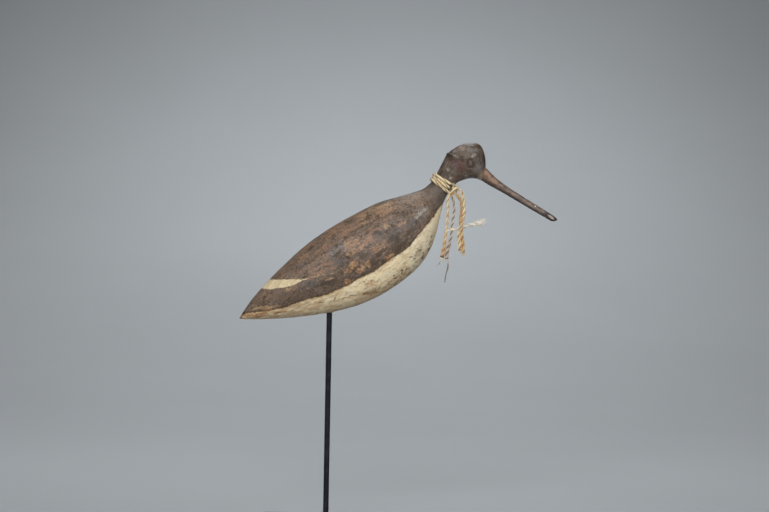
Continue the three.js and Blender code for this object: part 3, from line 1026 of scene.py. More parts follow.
class Surface(Nodes):
    """A material's tree with its shader."""

    def __init__(self, name: str, effects: Effects | None = None) -> None:
        """Makes the material with its shader and nothing else.

        Args:
            name: The material's name.
            effects: The shared shader groups, if it uses them.
        """
        self.material = bpy.data.materials.new(name)
        self.material.use_nodes = True
        super().__init__(self.material.node_tree)
        self.tree.nodes.clear()
        self.shader = self.add("ShaderNodeBsdfPrincipled")
        self.add("ShaderNodeOutputMaterial", {"Surface": self.shader.outputs[0]})
        self.effects = effects

    @functools.cached_property
    def place(self) -> Socket:
        """The place on the object."""
        return self.add("ShaderNodeTexCoord").outputs["Object"]

    def mottle(self, size: float) -> Outputs:
        """Clouds, patches, speckle, grit and cracks."""
        return self.effects.mottle.use(self, Vector=self.place, Size=size)

    def grain(self, slope: float, along: float, across: float, waver: float) -> Outputs:
        """Streaks and lines along a slope given in degrees."""
        size = {"Along": along, "Across": across, "Waver": waver}
        return self.effects.grain.use(self, Vector=self.place, Slope=math.radians(slope), **size)

    def ragged(self, layer: str, fineness: float, raggedness: float, softness: float) -> Socket:
        """Where a layer on the mesh is above zero, with a ragged edge."""
        edge = {"Fineness": fineness, "Raggedness": raggedness, "Softness": softness}
        return self.effects.ragged.use(self, Vector=self.place, Field=self.layer(layer), **edge)["Mask"]

    def bumps(self, height: object, strength: float, distance: float) -> Socket:
        """The normal of a surface with fine relief."""
        inputs = {"Height": height, "Strength": strength, "Distance": distance}
        return self.add("ShaderNodeBump", inputs).outputs[0]

    def finish(self, inputs: dict[str, object]) -> Material:
        """Feeds the shader and gives the material."""
        self.feed(self.shader, inputs)
        return self.material


@dataclass(frozen=True)
class Coat:
    """How one kind of mark is laid over the paint: its colour, its edge, and how much it covers."""

    wear: Wear
    tint: tuple
    ragged: float
    soft: float
    strength: float


@dataclass(frozen=True)
class Textures:
    """The mottling of a painted surface, and its coarse and its fine grain."""

    mottle: Outputs
    grain: Outputs
    fine: Outputs


@dataclass(frozen=True)
class PaintedWood:
    """Old dark and pale paint on carved wood, worn through in places, with painted highlights and painted
    shade.
    """

    umber: tuple = screen(98, 80, 66)
    brown: tuple = screen(150, 127, 108)
    warm: tuple = screen(168, 124, 95)
    neck: tuple = screen(97, 89, 82)
    head_brown: tuple = screen(109, 95, 83)
    head_dark: tuple = screen(70, 57, 49)
    low_shade: tuple = screen(70, 54, 40)
    line_shade: tuple = screen(74, 56, 34)
    slate: tuple = screen(104, 102, 103)
    # dark grime, also the colour of painted shade
    soot: tuple = screen(63, 51, 41)
    tan: tuple = screen(200, 166, 124)
    bare: tuple = screen(178, 150, 126)
    bare_brown: tuple = screen(140, 120, 104)
    cream: tuple = screen(255, 230, 182)
    cream_pale: tuple = screen(255, 243, 208)
    cream_worn: tuple = screen(228, 194, 150)
    cream_stripe: tuple = screen(232, 214, 174)
    breast: tuple = screen(255, 242, 214)
    fringe: tuple = screen(190, 150, 96)
    under: tuple = screen(202, 174, 138)
    tail_wood: tuple = screen(186, 148, 108)
    # dirt, also used for painted shade on surfaces that face down
    dirt_and_shade: tuple = screen(150, 112, 78)
    speck: tuple = screen(104, 72, 46)
    rough_dry: float = 0.68
    rough_waxed: float = 0.40
    dark_marks: tuple[Coat, ...] = (
        Coat(Wear.SLATE, slate, 0.8, 0.8, 0.8),
        # painted highlights, in places paler paint
        Coat(Wear.PAINTED_SHEEN, screen(156, 151, 149), 0.6, 0.9, 0.62),
        Coat(Wear.RUBBED, screen(186, 146, 114), 1.2, 0.6, 0.72),
        # dark grime, and painted shade at the front of the forehead
        Coat(Wear.SOOT_AND_SHADE, soot, 1.0, 0.7, 0.85),
        Coat(Wear.RED, screen(100, 54, 52), 0.8, 0.8, 0.9),
        Coat(Wear.ORANGE, screen(196, 144, 102), 1.1, 0.5, 0.9),
        Coat(Wear.TAN, tan, 1.1, 0.6, 0.85),
        # painted shadow under the crown's ledge
        Coat(Wear.PAINTED_SHADOW, screen(40, 31, 30), 0.4, 0.7, 0.85),
        # pale spots, and painted highlights
        Coat(Wear.SPOT, screen(186, 180, 168), 0.5, 0.6, 0.8),
        Coat(Wear.FLECK, cream_pale, 0.2, 0.3, 1.0),
    )
    pale_marks: tuple[Coat, ...] = (
        Coat(Wear.STAIN, screen(158, 142, 112), 1.0, 0.7, 0.55),
        Coat(Wear.TAN, screen(196, 166, 128), 1.0, 0.6, 0.6),
        Coat(Wear.SCRATCH, screen(84, 64, 48), 0.7, 0.5, 0.95),
        Coat(Wear.ORANGE, screen(176, 118, 72), 1.0, 0.5, 0.9),
    )

    def build(self, effects: Effects) -> Material:
        """Builds the material.

        Args:
            effects: The shared shader groups.

        Returns:
            The material.
        """
        nodes = Surface("painted wood", effects)
        coarse = nodes.grain(BODY_GRAIN, 75.0, 330.0, 0.004)
        textures = Textures(nodes.mottle(1.0), coarse, nodes.grain(BODY_GRAIN, 260.0, 1100.0, 0.002))
        clouds, patches, speckle, _, cracks = textures.mottle
        stripe = nodes.ragged("stripe", 300.0, 1.6, 0.35)
        is_dark = nodes.times(nodes.ragged("above_line", 360.0, 1.6, 0.45), nodes.opposite(stripe))
        pale = self.pale_paint(nodes, textures, stripe)
        waxed = nodes.times(nodes.band((patches, clouds), 0.4, 0.6), is_dark)
        height = nodes.mean(
            nodes.times(is_dark, 0.6), textures.grain["Streaks"], textures.fine["Streaks"],
            nodes.times(speckle, 1.4), nodes.times(cracks, -0.8),
        )
        gloss = nodes.times(waxed, self.rough_dry - self.rough_waxed)
        return nodes.finish({
            "Base Color": nodes.blend(is_dark, pale, self.dark_paint(nodes, textures)),
            "Roughness": nodes.math("SUBTRACT", self.rough_dry, gloss),
            "Specular IOR Level": 0.42,
            "Normal": nodes.bumps(height, 0.8, 0.0009),
        })

    def lay(self, nodes: Surface, textures: Textures, colour: object, coats: tuple[Coat, ...]) -> object:
        """Lays marks over a colour.

        Args:
            nodes: The material's tree.
            textures: The paint's mottling and grain.
            colour: The colour under them.
            coats: How each kind of mark is laid.

        Returns:
            The colour with the marks.
        """
        _, patches, speckle, _, _ = textures.mottle
        broken = nodes.band((speckle, textures.grain["Streaks"], patches), 0.42, 0.56)
        covering = nodes.plus(nodes.times(broken, 0.5), 0.5)
        for coat in coats:
            mask = nodes.ragged(coat.wear.value, 620.0, coat.ragged, coat.soft)
            colour = nodes.coats(colour, (coat.tint, nodes.times(mask, covering), coat.strength))
        return colour

    def dark_paint(self, nodes: Surface, textures: Textures) -> object:
        """The colour of the dark back, neck and head, with painted highlights and painted shade.

        Args:
            nodes: The material's tree.
            textures: The paint's mottling and grain.

        Returns:
            The colour.
        """
        clouds, patches, speckle, grit, cracks = textures.mottle
        streaks, fine = textures.grain["Streaks"], textures.fine["Streaks"]
        head, neck, above = (nodes.layer(name) for name in ("head", "neck", "above_line"))
        tone = nodes.mean(clouds, streaks, speckle, patches)
        lighter = nodes.band(nodes.plus(tone, nodes.times(nodes.layer("toward_tail"), 0.052)), 0.436, 0.586)
        worn = nodes.times(nodes.band((streaks, streaks, clouds), 0.50, 0.6), nodes.layer("handled"))
        marbled = nodes.band((patches, patches, clouds), 0.44, 0.56)
        behind = nodes.opposite(nodes.layer("breast"))
        low = nodes.times(nodes.band(above, 20.0, 4.0), nodes.band(clouds, 0.36, 0.56), behind)
        colour = nodes.coats(
            nodes.blend(lighter, self.umber, self.brown),
            (self.slate, nodes.band(patches, 0.52, 0.62), 0.5),
            (self.warm, worn, 0.65),
            (self.neck, neck, 0.75),
            (nodes.blend(marbled, self.head_dark, self.head_brown), head, 0.9),
            # darker low on the flank near the paint line: darker paint and painted shade where the flank
            # turns down
            (self.low_shade, low, 0.62),
        )
        colour = self.lay(nodes, textures, colour, self.dark_marks)
        near_line = nodes.times(nodes.band(above, 2.2, 0.6), nodes.band(patches, 0.35, 0.55))
        eye_ring = nodes.times(nodes.layer("eye_ring"), nodes.band((speckle, patches), 0.34, 0.52))
        rough = nodes.opposite(nodes.math("MAXIMUM", nodes.times(neck, 0.8), nodes.times(head, 0.35)))
        spotty = nodes.mean(speckle, grit, fine)
        flecks, pits = nodes.band(spotty, 0.53, 0.60), nodes.band(spotty, 0.49, 0.42)
        shade = nodes.band((patches, patches, streaks), 0.47, 0.38)
        bare = nodes.blend(nodes.band(fine, 0.4, 0.6), self.bare_brown, self.bare)
        return nodes.coats(
            colour,
            (self.line_shade, near_line, 0.75),
            # painted shade on surfaces that face down
            (self.soot, nodes.band(nodes.layer("underside_shade"), 0.2, 1.0), 0.5),
            (self.soot, eye_ring, 0.95),
            (self.tan, nodes.times(flecks, rough), 0.32),
            (self.soot, nodes.times(pits, rough), 0.5),
            (self.soot, nodes.times(shade, rough), 0.5),
            (self.soot, nodes.times(cracks, rough), 0.45),
            (bare, nodes.layer("bill_root"), 0.88),
        )

    def pale_paint(self, nodes: Surface, textures: Textures, stripe: object) -> object:
        """The colour of the pale belly and stripe, with painted shade on surfaces that face down.

        Args:
            nodes: The material's tree.
            textures: The paint's mottling and grain.
            stripe: Where the stripe is.

        Returns:
            The colour.
        """
        clouds, patches, speckle, _, cracks = textures.mottle
        streaks, (fine, lines) = textures.grain["Streaks"], textures.fine
        below, tail = nodes.layer("below_line"), nodes.layer("toward_tail")
        clean = nodes.opposite(nodes.times(stripe, 0.7))
        low = nodes.band((nodes.band(below, 4.0, 26.0), clouds), 0.34, 0.72)
        fringe = nodes.times(nodes.band(below, 1.6, 0.2), nodes.band(patches, 0.4, 0.55), clean)
        spotty = nodes.mean(speckle, patches, fine)
        grime = nodes.band(spotty, 0.51, 0.59)
        darkened = nodes.plus(nodes.times(low, 1.1), 0.12)
        colour = nodes.coats(
            nodes.blend(nodes.band(fine, 0.36, 0.62), self.cream, self.cream_pale),
            (self.cream_worn, nodes.band(streaks, 0.48, 0.62), 0.75),
            (self.under, low, 0.7),
            (self.tail_wood, nodes.times(tail, nodes.band(streaks, 0.34, 0.56), clean), 0.75),
            (self.breast, nodes.layer("breast"), 0.4),
            (self.fringe, fringe, 0.7),
            (self.cream_stripe, stripe, 0.4),
            (self.dirt_and_shade, nodes.times(grime, darkened, clean), 0.8),
        )
        specks = nodes.band(nodes.plus(spotty, nodes.times(low, 0.025)), 0.54, 0.6)
        nicks = nodes.times(lines, nodes.band(patches, 0.42, 0.54), clean)
        return nodes.coats(
            self.lay(nodes, textures, colour, self.pale_marks),
            (self.speck, nodes.times(specks, darkened, clean), 0.9),
            (self.speck, nicks, 0.85),
            # painted shade on surfaces that face down
            (self.dirt_and_shade, nodes.band(nodes.layer("underside_shade"), 0.4, 1.0), 0.32),
            (self.speck, nodes.times(cracks, clean), 0.14),
        )


@dataclass(frozen=True)
class BareWood:
    """The bill's old bare wood, brown and darker towards its tip, with darker wood and painted shade along
    its lower side.
    """

    light: tuple = screen(180, 148, 124)
    brown: tuple = screen(130, 112, 100)
    rust: tuple = screen(160, 118, 86)
    dark: tuple = screen(58, 48, 44)
    grey: tuple = screen(156, 147, 140)
    rim: tuple = screen(84, 74, 70)
    fleck: tuple = screen(216, 208, 190)
    oval: tuple = screen(180, 164, 152)

    def build(self, effects: Effects) -> Material:
        """Builds the material.

        Args:
            effects: The shared shader groups.

        Returns:
            The material.
        """
        nodes = Surface("bare wood", effects)
        _, patches, speckle, _, _ = nodes.mottle(1.3)
        streaks = nodes.grain(BILL_GRAIN, 70.0, 700.0, 0.001)["Streaks"]
        fine, lines = nodes.grain(BILL_GRAIN, 200.0, 1600.0, 0.001)
        tip = nodes.layer("toward_tip")
        colour = nodes.coats(
            nodes.blend(tip, self.light, self.brown),
            (self.rust, nodes.band(streaks, 0.46, 0.6), 0.7),
            (self.grey, nodes.times(tip, nodes.band(fine, 0.44, 0.6)), 0.8),
            (self.rim, nodes.layer("upper_edge"), 0.55),
            (self.dark, nodes.times(nodes.band((streaks, fine), 0.50, 0.42), nodes.plus(tip, 0.6)), 0.62),
            # painted shade along the lower side, with darker wood
            (self.dark, nodes.layer("lower_edge"), 0.85),
            (self.dark, lines, 0.5),
            (self.dark, nodes.band(patches, 0.48, 0.62), 0.5),
            (self.dark, nodes.layer("tip_rim"), 0.9),
            (self.oval, nodes.layer("tip_oval"), 0.9),
            (self.fleck, nodes.layer("bill_fleck"), 1.0),
        )
        height = nodes.mean(streaks, fine, nodes.times(speckle, 0.5))
        return nodes.finish({
            "Base Color": colour,
            "Roughness": nodes.plus(nodes.times(streaks, 0.4), 0.36),
            "Normal": nodes.bumps(height, 0.7, 0.0005),
        })


@dataclass(frozen=True)
class TwineFibre:
    """Straw-coloured two-ply twine, stained in stretches.

    Attributes:
        name: The material's name.
        straw: The colour of clean fibre.
        pale: The colour of the brightest fibre.
        stain: The colour of stained stretches.
        shadow: The colour between the plies.
        burnt: The colour of dark ends, and of the painted shade in the knot's gaps.
        stained: How much of the length is stained.
        start: Where on the noise the twine starts.
        groove: How wide the groove between the plies is, from 0 to 1.
    """

    name: str
    straw: tuple = screen(236, 212, 164)
    pale: tuple = screen(255, 244, 214)
    stain: tuple = screen(196, 142, 88)
    shadow: tuple = screen(140, 94, 56)
    burnt: tuple = screen(70, 55, 42)
    stained: float = 0.5
    start: float = 0.0
    groove: float = 0.5

    def build(self) -> Material:
        """Builds the material.

        Returns:
            The material.
        """
        nodes = Surface(self.name)
        strand = nodes.vector("ADD", nodes.layer("strand", "Vector"), (0, 0, self.start))
        fibre = nodes.noise(nodes.vector("MULTIPLY", strand, (2.2, 2.2, 0.5)), 1.6, 3.0, 0.6)
        stretch = nodes.noise(nodes.vector("MULTIPLY", strand, (0.35, 0.35, 0.2)), 1.0, 2.0, 0.6)
        clean, crown = 0.62 - 0.3 * self.stained, nodes.layer("crown")
        colour = nodes.coats(
            nodes.blend(nodes.band(fibre, 0.38, 0.66), self.straw, self.pale),
            (self.stain, nodes.band(stretch, clean, clean + 0.16), 0.8),
            (self.stain, nodes.times(nodes.layer("aged"), nodes.band(fibre, 0.3, 0.6)), 0.8),
            (self.shadow, nodes.band(crown, self.groove, 0.1), 0.9),
            # painted light: the loose hairs painted paler than the plies
            (self.pale, nodes.band(crown, 1.2, 1.8), 0.7),
            # dark ends, and on the collar painted shade in the knot's gaps
            (self.burnt, nodes.layer("burnt"), 1.0),
        )
        return nodes.finish({
            "Base Color": colour,
            "Roughness": 0.85,
            "Specular IOR Level": 0.2,
            "Sheen Weight": 0.15,
            "Normal": nodes.bumps(fibre, 0.6, 0.0003),
        })


@dataclass(frozen=True)
class BlackSteel:
    """The stand's steel, blackened and waxed."""

    black: tuple = screen(30, 32, 38)
    worn: tuple = screen(48, 49, 54)

    def build(self, effects: Effects) -> Material:
        """Builds the material.

        Args:
            effects: The shared shader groups.

        Returns:
            The material.
        """
        nodes = Surface("black steel", effects)
        _, patches, speckle, _, _ = nodes.mottle(1.2)
        return nodes.finish({
            "Base Color": nodes.blend(nodes.band(patches, 0.4, 0.7), self.black, self.worn),
            "Roughness": nodes.plus(nodes.times(speckle, 0.3), 0.3),
            "Specular IOR Level": 0.12,
            "Normal": nodes.bumps(speckle, 0.25, 0.0001),
        })


@dataclass(frozen=True)
class StudioPaper:
    """The pale floor and backdrop, all one sheet."""

    tone: tuple = screen(196, 202, 206)
    grain: tuple = screen(190, 196, 200)

    def build(self) -> Material:
        """Builds the material.

        Returns:
            The material.
        """
        nodes = Surface("studio paper")
        colour = nodes.blend(nodes.noise(nodes.place, 3.0), self.tone, self.grain)
        return nodes.finish({"Base Color": colour, "Roughness": 0.95, "Specular IOR Level": 0.1})


@dataclass(frozen=True)
class Viewpoint:
    """The camera at the photograph's angle, which leans a degree to one side."""

    place: Point = (0.049, -1.645, 0.248)
    lean: float = 1.045
    lens: float = 85.0
    sensor: float = 36.0
    reach: float = 30.0

    def build(self) -> None:
        """Makes the camera and gives it to the scene."""
        data = bpy.data.cameras.new("view")
        data.lens = self.lens
        data.sensor_width = self.sensor
        data.clip_end = self.reach
        camera = put("view", data)
        camera.location = self.place
        camera.rotation_euler = (math.pi / 2, -math.radians(self.lean), 0)
        bpy.context.scene.camera = camera
        log.info("camera at %s", self.place)


class LightKind(Enum):
    """Kinds of studio light."""

    PANEL = "AREA"
    SPOT = "SPOT"


@dataclass(frozen=True)
class StudioLight:
    """One soft light at a place that faces its aim, with its power in watts.

    Its size is a panel's side in metres, or the angle of a spot's cone in radians.
    """

    name: str
    place: Point
    aim: Point
    size: float
    power: float
    kind: LightKind = LightKind.PANEL
    radius: float = 0.2

    def build(self) -> None:
        """Makes the light."""
        data = bpy.data.lights.new(self.name, self.kind.value)
        data.energy = self.power
        if self.kind is LightKind.PANEL:
            data.shape = "SQUARE"
            data.size = self.size
        else:
            data.spot_size = self.size
            data.spot_blend = 1.0
            data.shadow_soft_size = self.radius
        light = put(self.name, data)
        light.location = self.place
        facing = Vector(self.aim) - Vector(self.place)
        light.rotation_euler = facing.to_track_quat("-Z", "Y").to_euler()


@dataclass(frozen=True)
class Studio:
    """The floor that curves up into a backdrop, and the lights.

    Attributes:
        half_width: Half the width of the sheet in metres.
        front: Where it starts to curve up in front of the object.
        back: The same behind it.
        depth: How far each curve reaches back.
        rise: How high each curve reaches.
        wall: How far it goes straight up from there.
        steps: Steps in each curve.
        columns: Lines of points from side to side.
        ambient: Colour of the light from all round, which has no strength.
    """

    half_width: float = 7.0
    front: float = 4.0
    back: float = 1.0
    depth: float = 3.6
    rise: float = 2.8
    wall: float = 2.0
    steps: int = 41
    columns: int = 15
    ambient: tuple[float, ...] = (0.94, 0.97, 1.0, 1.0)

    def lights(self) -> tuple[StudioLight, ...]:
        """The lights on the bird, the floor and the backdrop.

        Returns:
            Every light.
        """
        spot = LightKind.SPOT
        return (
            StudioLight("front", (-0.4, -3.0, 1.5), (0.0, 0.0, 0.25), 2.3, 254.0, spot, 1.1),
            StudioLight("key", (0.8, -1.8, 2.2), (0.05, 0.0, 0.25), 2.3, 20.0, spot, 0.9),
            StudioLight("low_right", (1.1, -1.5, 0.6), (0.08, 0.0, 0.27), 1.0, 22.0, spot, 0.4),
            StudioLight("top", (0.02, 0.25, 1.5), (0.02, 0.25, 0.0), 0.7, 3.8),
            StudioLight("rear", (0.2, 1.6, 1.7), (0.0, 0.0, 0.25), 0.7, 3.0),
            StudioLight("behind_view", (0.0, -2.4, 3.2), (0.0, -5.6, 0.3), 2.2, 160.0, spot, 0.6),
            StudioLight("back", (0.02, 2.1, 1.9), (0.02, 2.7, 0.3), 0.5, 13.9),
            StudioLight("back_right", (0.25, 2.3, 2.0), (0.25, 3.0, 0.4), 0.5, 2.6),
            StudioLight("backdrop", (0.0, 1.2, 1.5), (0.03, 3.2, 0.7), 1.15, 11.2, spot),
            StudioLight("near_floor", (0.02, -0.25, 2.0), (0.02, 0.72, 0.0), 0.9, 26.5, spot),
        )

    def profile(self) -> list[Pair]:
        """The sheet's outline from the side.

        Returns:
            Y and Z, from the front to the top.
        """
        turns = np.linspace(0, math.pi / 2, self.steps)
        curve = [(self.depth * math.sin(turn), self.rise * (1 - math.cos(turn))) for turn in turns]
        curve.append((self.depth, self.rise + self.wall))
        front = [(-self.front - y, z) for y, z in reversed(curve)]
        return [*front, (-1.0, 0.0), (0.0, 0.0), *((self.back + y, z) for y, z in curve)]

    def build(self) -> None:
        """Makes the floor and backdrop, the world and the lights."""
        line, count = self.profile(), self.columns
        columns = np.linspace(-self.half_width, self.half_width, count)
        corners = [row * count + column for row in range(len(line) - 1) for column in range(count - 1)]
        faces = [(corner, corner + 1, corner + count + 1, corner + count) for corner in corners]
        vertices = np.array([(x, y, z) for y, z in line for x in columns])
        sheet = new_piece("studio_floor", vertices, faces, closed=False)
        sheet.data.materials.append(StudioPaper().build())
        world = bpy.data.worlds.new("studio")
        world.use_nodes = True
        background = world.node_tree.nodes["Background"]
        background.inputs["Color"].default_value = self.ambient
        background.inputs["Strength"].default_value = 0.0
        bpy.context.scene.world = world
        for light in self.lights():
            light.build()
        log.info("studio: sheet and %d lights", len(self.lights()))


# Rings and sides of the shapes that cut the bill's seat and the rod's hole
SEAT_RINGS, SEAT_SIDES = 120, 64
HOLE_RINGS, HOLE_SIDES = 4, 48


@dataclass(frozen=True)
class DecoyBody:
    """Tail, body, neck and head, carved from one block.

    Attributes:
        ring_count: Rings along the body.
        sides: Points in each ring.
        cap_rings: Rings in each rounded end.
        bulges: How far the tail's tip and the brow bulge, in metres.
        whittling: Height of the knife's broad facets in metres.
        eye_radius: Radius of the ring round the eye.
        eye_stretch: How much taller than wide the ring is.
        eye_dome: How far the eye stands out.
        flake_depth: Depth of the missing flake below the crown's ledge.
        flake_reach: How far below the ledge it runs out, in millimetres.
        lip_height: Height of the lip along the ledge.
        dent_depth: Depth of the round dent in the breast.
        scratch_depth: Depth of the scratches.
        sharp: The angle from which an edge is sharp, in degrees.
        carving: Its shape.
    """

    ring_count: int = 400
    sides: int = 208
    cap_rings: int = 6
    bulges: Pair = (0.0006, 0.0008)
    whittling: float = 0.00022
    eye_radius: float = 0.0028
    eye_stretch: float = 1.36
    eye_dome: float = 0.0004
    flake_depth: float = 0.0014
    flake_reach: float = 9.5
    lip_height: float = 0.00035
    dent_depth: float = 0.00025
    scratch_depth: float = 0.0003
    sharp: float = 50.0
    carving: Carving = Carving(
        widened(BODY_SECTIONS, BODY_HALF_WIDTH) + widened(HEAD_SECTIONS, HEAD_HALF_WIDTH), BODY_POWER
    )

    def from_eye_ring(self, points: Array) -> Array:
        """Distance of points from the ring round the eye, in metres, negative inside it."""
        across, up = points[:, 0] - EYE_PLACE[0] * MM, points[:, 2] - EYE_PLACE[1] * MM
        return np.hypot(across, up / self.eye_stretch) - self.eye_radius

    def near_relief(self, x: Array, z: Array) -> Array:
        """How far the carving on the bird's right stands out: the flake, its lip and the round dent.

        Args:
            x: X of each point in millimetres.
            z: Z of each point in millimetres.

        Returns:
            One height for each point, in metres.
        """
        below = -line_distance(x, z, CROWN_LEDGE)
        behind = fade(x, 101.0, 104.5)
        fall = np.clip(1 - below / self.flake_reach, 0, 1) * fade(below, -0.25, 0.35)
        flake = fall * behind * (1 - fade(x, 110.0, 121.5))
        lip = bell(below + 0.7, 0.7) * behind * (1 - fade(x, 112.0, 120.0))
        dent_x, dent_z, dent_radius, dent_width = BREAST_DENT
        dent = bell(np.hypot(x - dent_x, z - dent_z) - dent_radius, dent_width)
        return self.lip_height * lip - self.flake_depth * flake - self.dent_depth * dent

    def relief(self, points: Array) -> Array:
        """How far the carved surface stands out of the smooth form.

        Args:
            points: One point a row, in metres.

        Returns:
            One height for each point, in metres.
        """
        turned = along_grain(points, BODY_GRAIN)
        broad = LatticeNoise(11, (0.022, 0.010, 0.009)).at(turned)
        height = self.whittling * (broad + 0.35 * LatticeNoise(12, (0.012, 0.004, 0.0035)).at(turned))
        x, z = points[:, 0] / MM, points[:, 2] / MM
        height += np.where(points[:, 1] < 0, self.near_relief(x, z), 0)
        for knob_x, knob_z, half_length, half_height, rise in KNOBS:
            height += rise * bell(np.hypot((x - knob_x) / half_length, (z - knob_z) / half_height), 1)
        from_ring = self.from_eye_ring(points)
        depth = 0.0008 + 0.0005 * LatticeNoise(13, 0.0022).at(points)
        height += self.eye_dome * fade(-from_ring, 0.0004, 0.0026) - depth * bell(from_ring, 0.00065)
        return height - self.scratch_depth * np.clip(field_of(Wear.SCRATCH, points), 0, 1)

    def cutters(self, bill: Carving) -> list[Piece]:
        """The bill's seat and the rod's hole as shapes to cut away.

        Args:
            bill: The bill's carving.

        Returns:
            The shapes.
        """
        rings = bill.rings(bill.even_shares(SEAT_RINGS), SEAT_SIDES, FIT)
        deeper = rings[0].mean(axis=0) - rings[-1].mean(axis=0)
        rings += FIT * deeper / np.linalg.norm(deeper)
        low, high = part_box("stand_rod")
        angles, radius = circle(HOLE_SIDES), (high.x - low.x) / 2 + FIT
        ring = np.column_stack([radius * np.cos(angles), radius * np.sin(angles), 0 * angles])
        levels = np.linspace(2 * BELLY_HEIGHT - high.z, high.z + FIT, HOLE_RINGS)
        tube = np.array([ring + (0, 0, level) for level in levels])
        return [new_piece("seat", *closed_loft(rings)), new_piece("hole", *closed_loft(tube))]

    def paint_layers(self, piece: Piece) -> dict[str, Array]:
        """The layers that the paint follows.

        Args:
            piece: The carved body.

        Returns:
            One value for each vertex, by the layer's name.
        """
        points = mesh_vectors(piece.data)
        x, z = points[:, 0] / MM, points[:, 2] / MM
        above = -line_distance(x, z, PAINT_LINE)
        past_neck = past(x, z, *NECK_END)
        ring = self.from_eye_ring(points) + 0.0003 * LatticeNoise(14, 0.0018).at(points)
        ring_width = 0.0011 + 0.0006 * LatticeNoise(15, 0.0024).at(points)
        worn = past(x, z, *FACE_END) + 0.4 * LatticeNoise(16, 0.002).at(points)
        handled = fade(x, -70.0, -20.0) * (1 - fade(x, 38.0, 62.0)) * fade(above, 6.0, 24.0)
        layers = {
            "above_line": np.clip(above, -40, 40),
            "below_line": np.clip(-above, 0, 60),
            "stripe": np.clip(inside_distance(x, z, TAIL_STRIPE), -20, 20),
            "head": fade(past_neck, -6.0, 6.0),
            "handled": 0.15 + 0.85 * handled,
            "neck": fade(x + 0.5 * (z - 300), 80.0, 98.0) * (1 - fade(past_neck, -4.0, 4.0)),
            # how much each surface faces down, for painted shade
            "underside_shade": np.clip(-mesh_vectors(piece.data, "normal")[:, 2], 0, 1),
            "toward_tail": 1 - fade(x, -75.0, 60.0),
            "breast": fade(x, 60.0, 88.0),
            "eye_ring": bell(ring, ring_width),
            "bill_root": fade(worn, -0.9, 1.9) * fade(z, 312.0, 316.0),
        }
        return layers | {wear.value: field_of(wear, points) for wear in Wear}

    def build(self, bill: Carving, material: Material) -> None:
        """Builds the body in place of its node.

        Args:
            bill: The bill's carving, which the head makes room for.
            material: The painted wood.
        """
        rings = self.carving.rings(self.carving.even_shares(self.ring_count), self.sides)
        piece = new_piece("carved_body", *closed_loft(rings, *self.bulges, self.cap_rings))
        push_out(piece, self.relief(mesh_vectors(piece.data)))
        cut_away(piece, self.cutters(bill))
        piece.data.shade_smooth()
        piece.data.set_sharp_from_angle(angle=math.radians(self.sharp))
        write_layers(piece, **self.paint_layers(piece))
        dress(piece, material)
        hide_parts("decoy_body")


@dataclass(frozen=True)
class Bill:
    """The long bare-wood bill.

    Attributes:
        ring_count: Rings along the bill.
        sides: Points in each ring.
        cap_rings: Rings in each rounded end.
        tip_bulge: How far the tip bulges, in metres.
        ripple: Height of the knife's marks in metres.
        hollow: Depth of the worn oval in metres.
        oval: The worn oval at the tip.
        fleck: A bright fleck.
        carving: Its shape.
    """

    ring_count: int = 260
    sides: int = 72
    cap_rings: int = 6
    tip_bulge: float = 0.0010
    ripple: float = 0.00008
    hollow: float = 0.0004
    oval: Mark = Mark(198.8, 286.05, 8.6272, 2.9, -34.287)
    fleck: Mark = Mark(184.5, 295.3, 2.0, 1.7, 0)
    carving: Carving = Carving(widened(BILL_SECTIONS, BILL_HALF_WIDTH))

    def build(self, material: Material) -> None:
        """Builds the bill in place of its node.

        Args:
            material: The bare wood.
        """
        rings = self.carving.rings(self.carving.even_shares(self.ring_count), self.sides)
        piece = new_piece("carved_bill", *closed_loft(rings, 0.0, self.tip_bulge, self.cap_rings))
        places = mesh_vectors(piece.data)
        x, z, near = places[:, 0] / MM, places[:, 2] / MM, places[:, 1] < 0
        depth = np.where(near, self.oval.field(x, z), -1)
        ripple = LatticeNoise(21, (0.010, 0.002, 0.0018)).at(along_grain(places, BILL_GRAIN))
        push_out(piece, self.ripple * ripple - self.hollow * fade(depth, 0.0, 0.5))

        around = np.append(np.tile(np.cos(circle(self.sides)), len(places) // self.sides), [0.0, 0.0])
        from_start = np.linalg.norm(places - rings[0].mean(axis=0), axis=1) / MM
        write_layers(
            piece,
            toward_tip=fade(from_start, 6.0, 46.0),
            upper_edge=fade(around, 0.45, 0.95),
            # painted shade along the lower side, with darker wood
            lower_edge=fade(-around, -0.2, 0.85),
            tip_oval=fade(depth, 0.05, 0.35) * (0.45 + 0.55 * fade(x, 195.5, 199.0)),
            tip_rim=fade(depth, -0.8, -0.2) * (1 - fade(depth, 0.0, 0.2)),
            bill_fleck=np.where(near, fade(self.fleck.field(x, z), 0.0, 0.4), 0.0),
        )
        dress(piece, material)
        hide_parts("bill")


# Loose hairs and longer loose strands: steps along them, sides, how much thinner they end, and
# the value of the crown layer, which is above 1 for what is paler than the plies: the loose hairs, painted
# paler as painted light
HAIR_STEPS, HAIR_SIDES, HAIR_TAPER, HAIR_CROWN = 6, 4, 0.6, 2.0
STRAND_STEPS, STRAND_SIDES, STRAND_TAPER, STRAND_CROWN = 24, 6, 0.5, 1.0

# How far from the twine's middle hairs start, in diameters, and how far their ends fall, as a
# share of their length, on a hanging end and on what is held close
HAIR_ROOT, HANGING_SAG, HELD_SAG = 0.38, 0.15, 0.1

# Steps in which a twine's route is measured, for each of its points
ROUTE_STEPS = 60


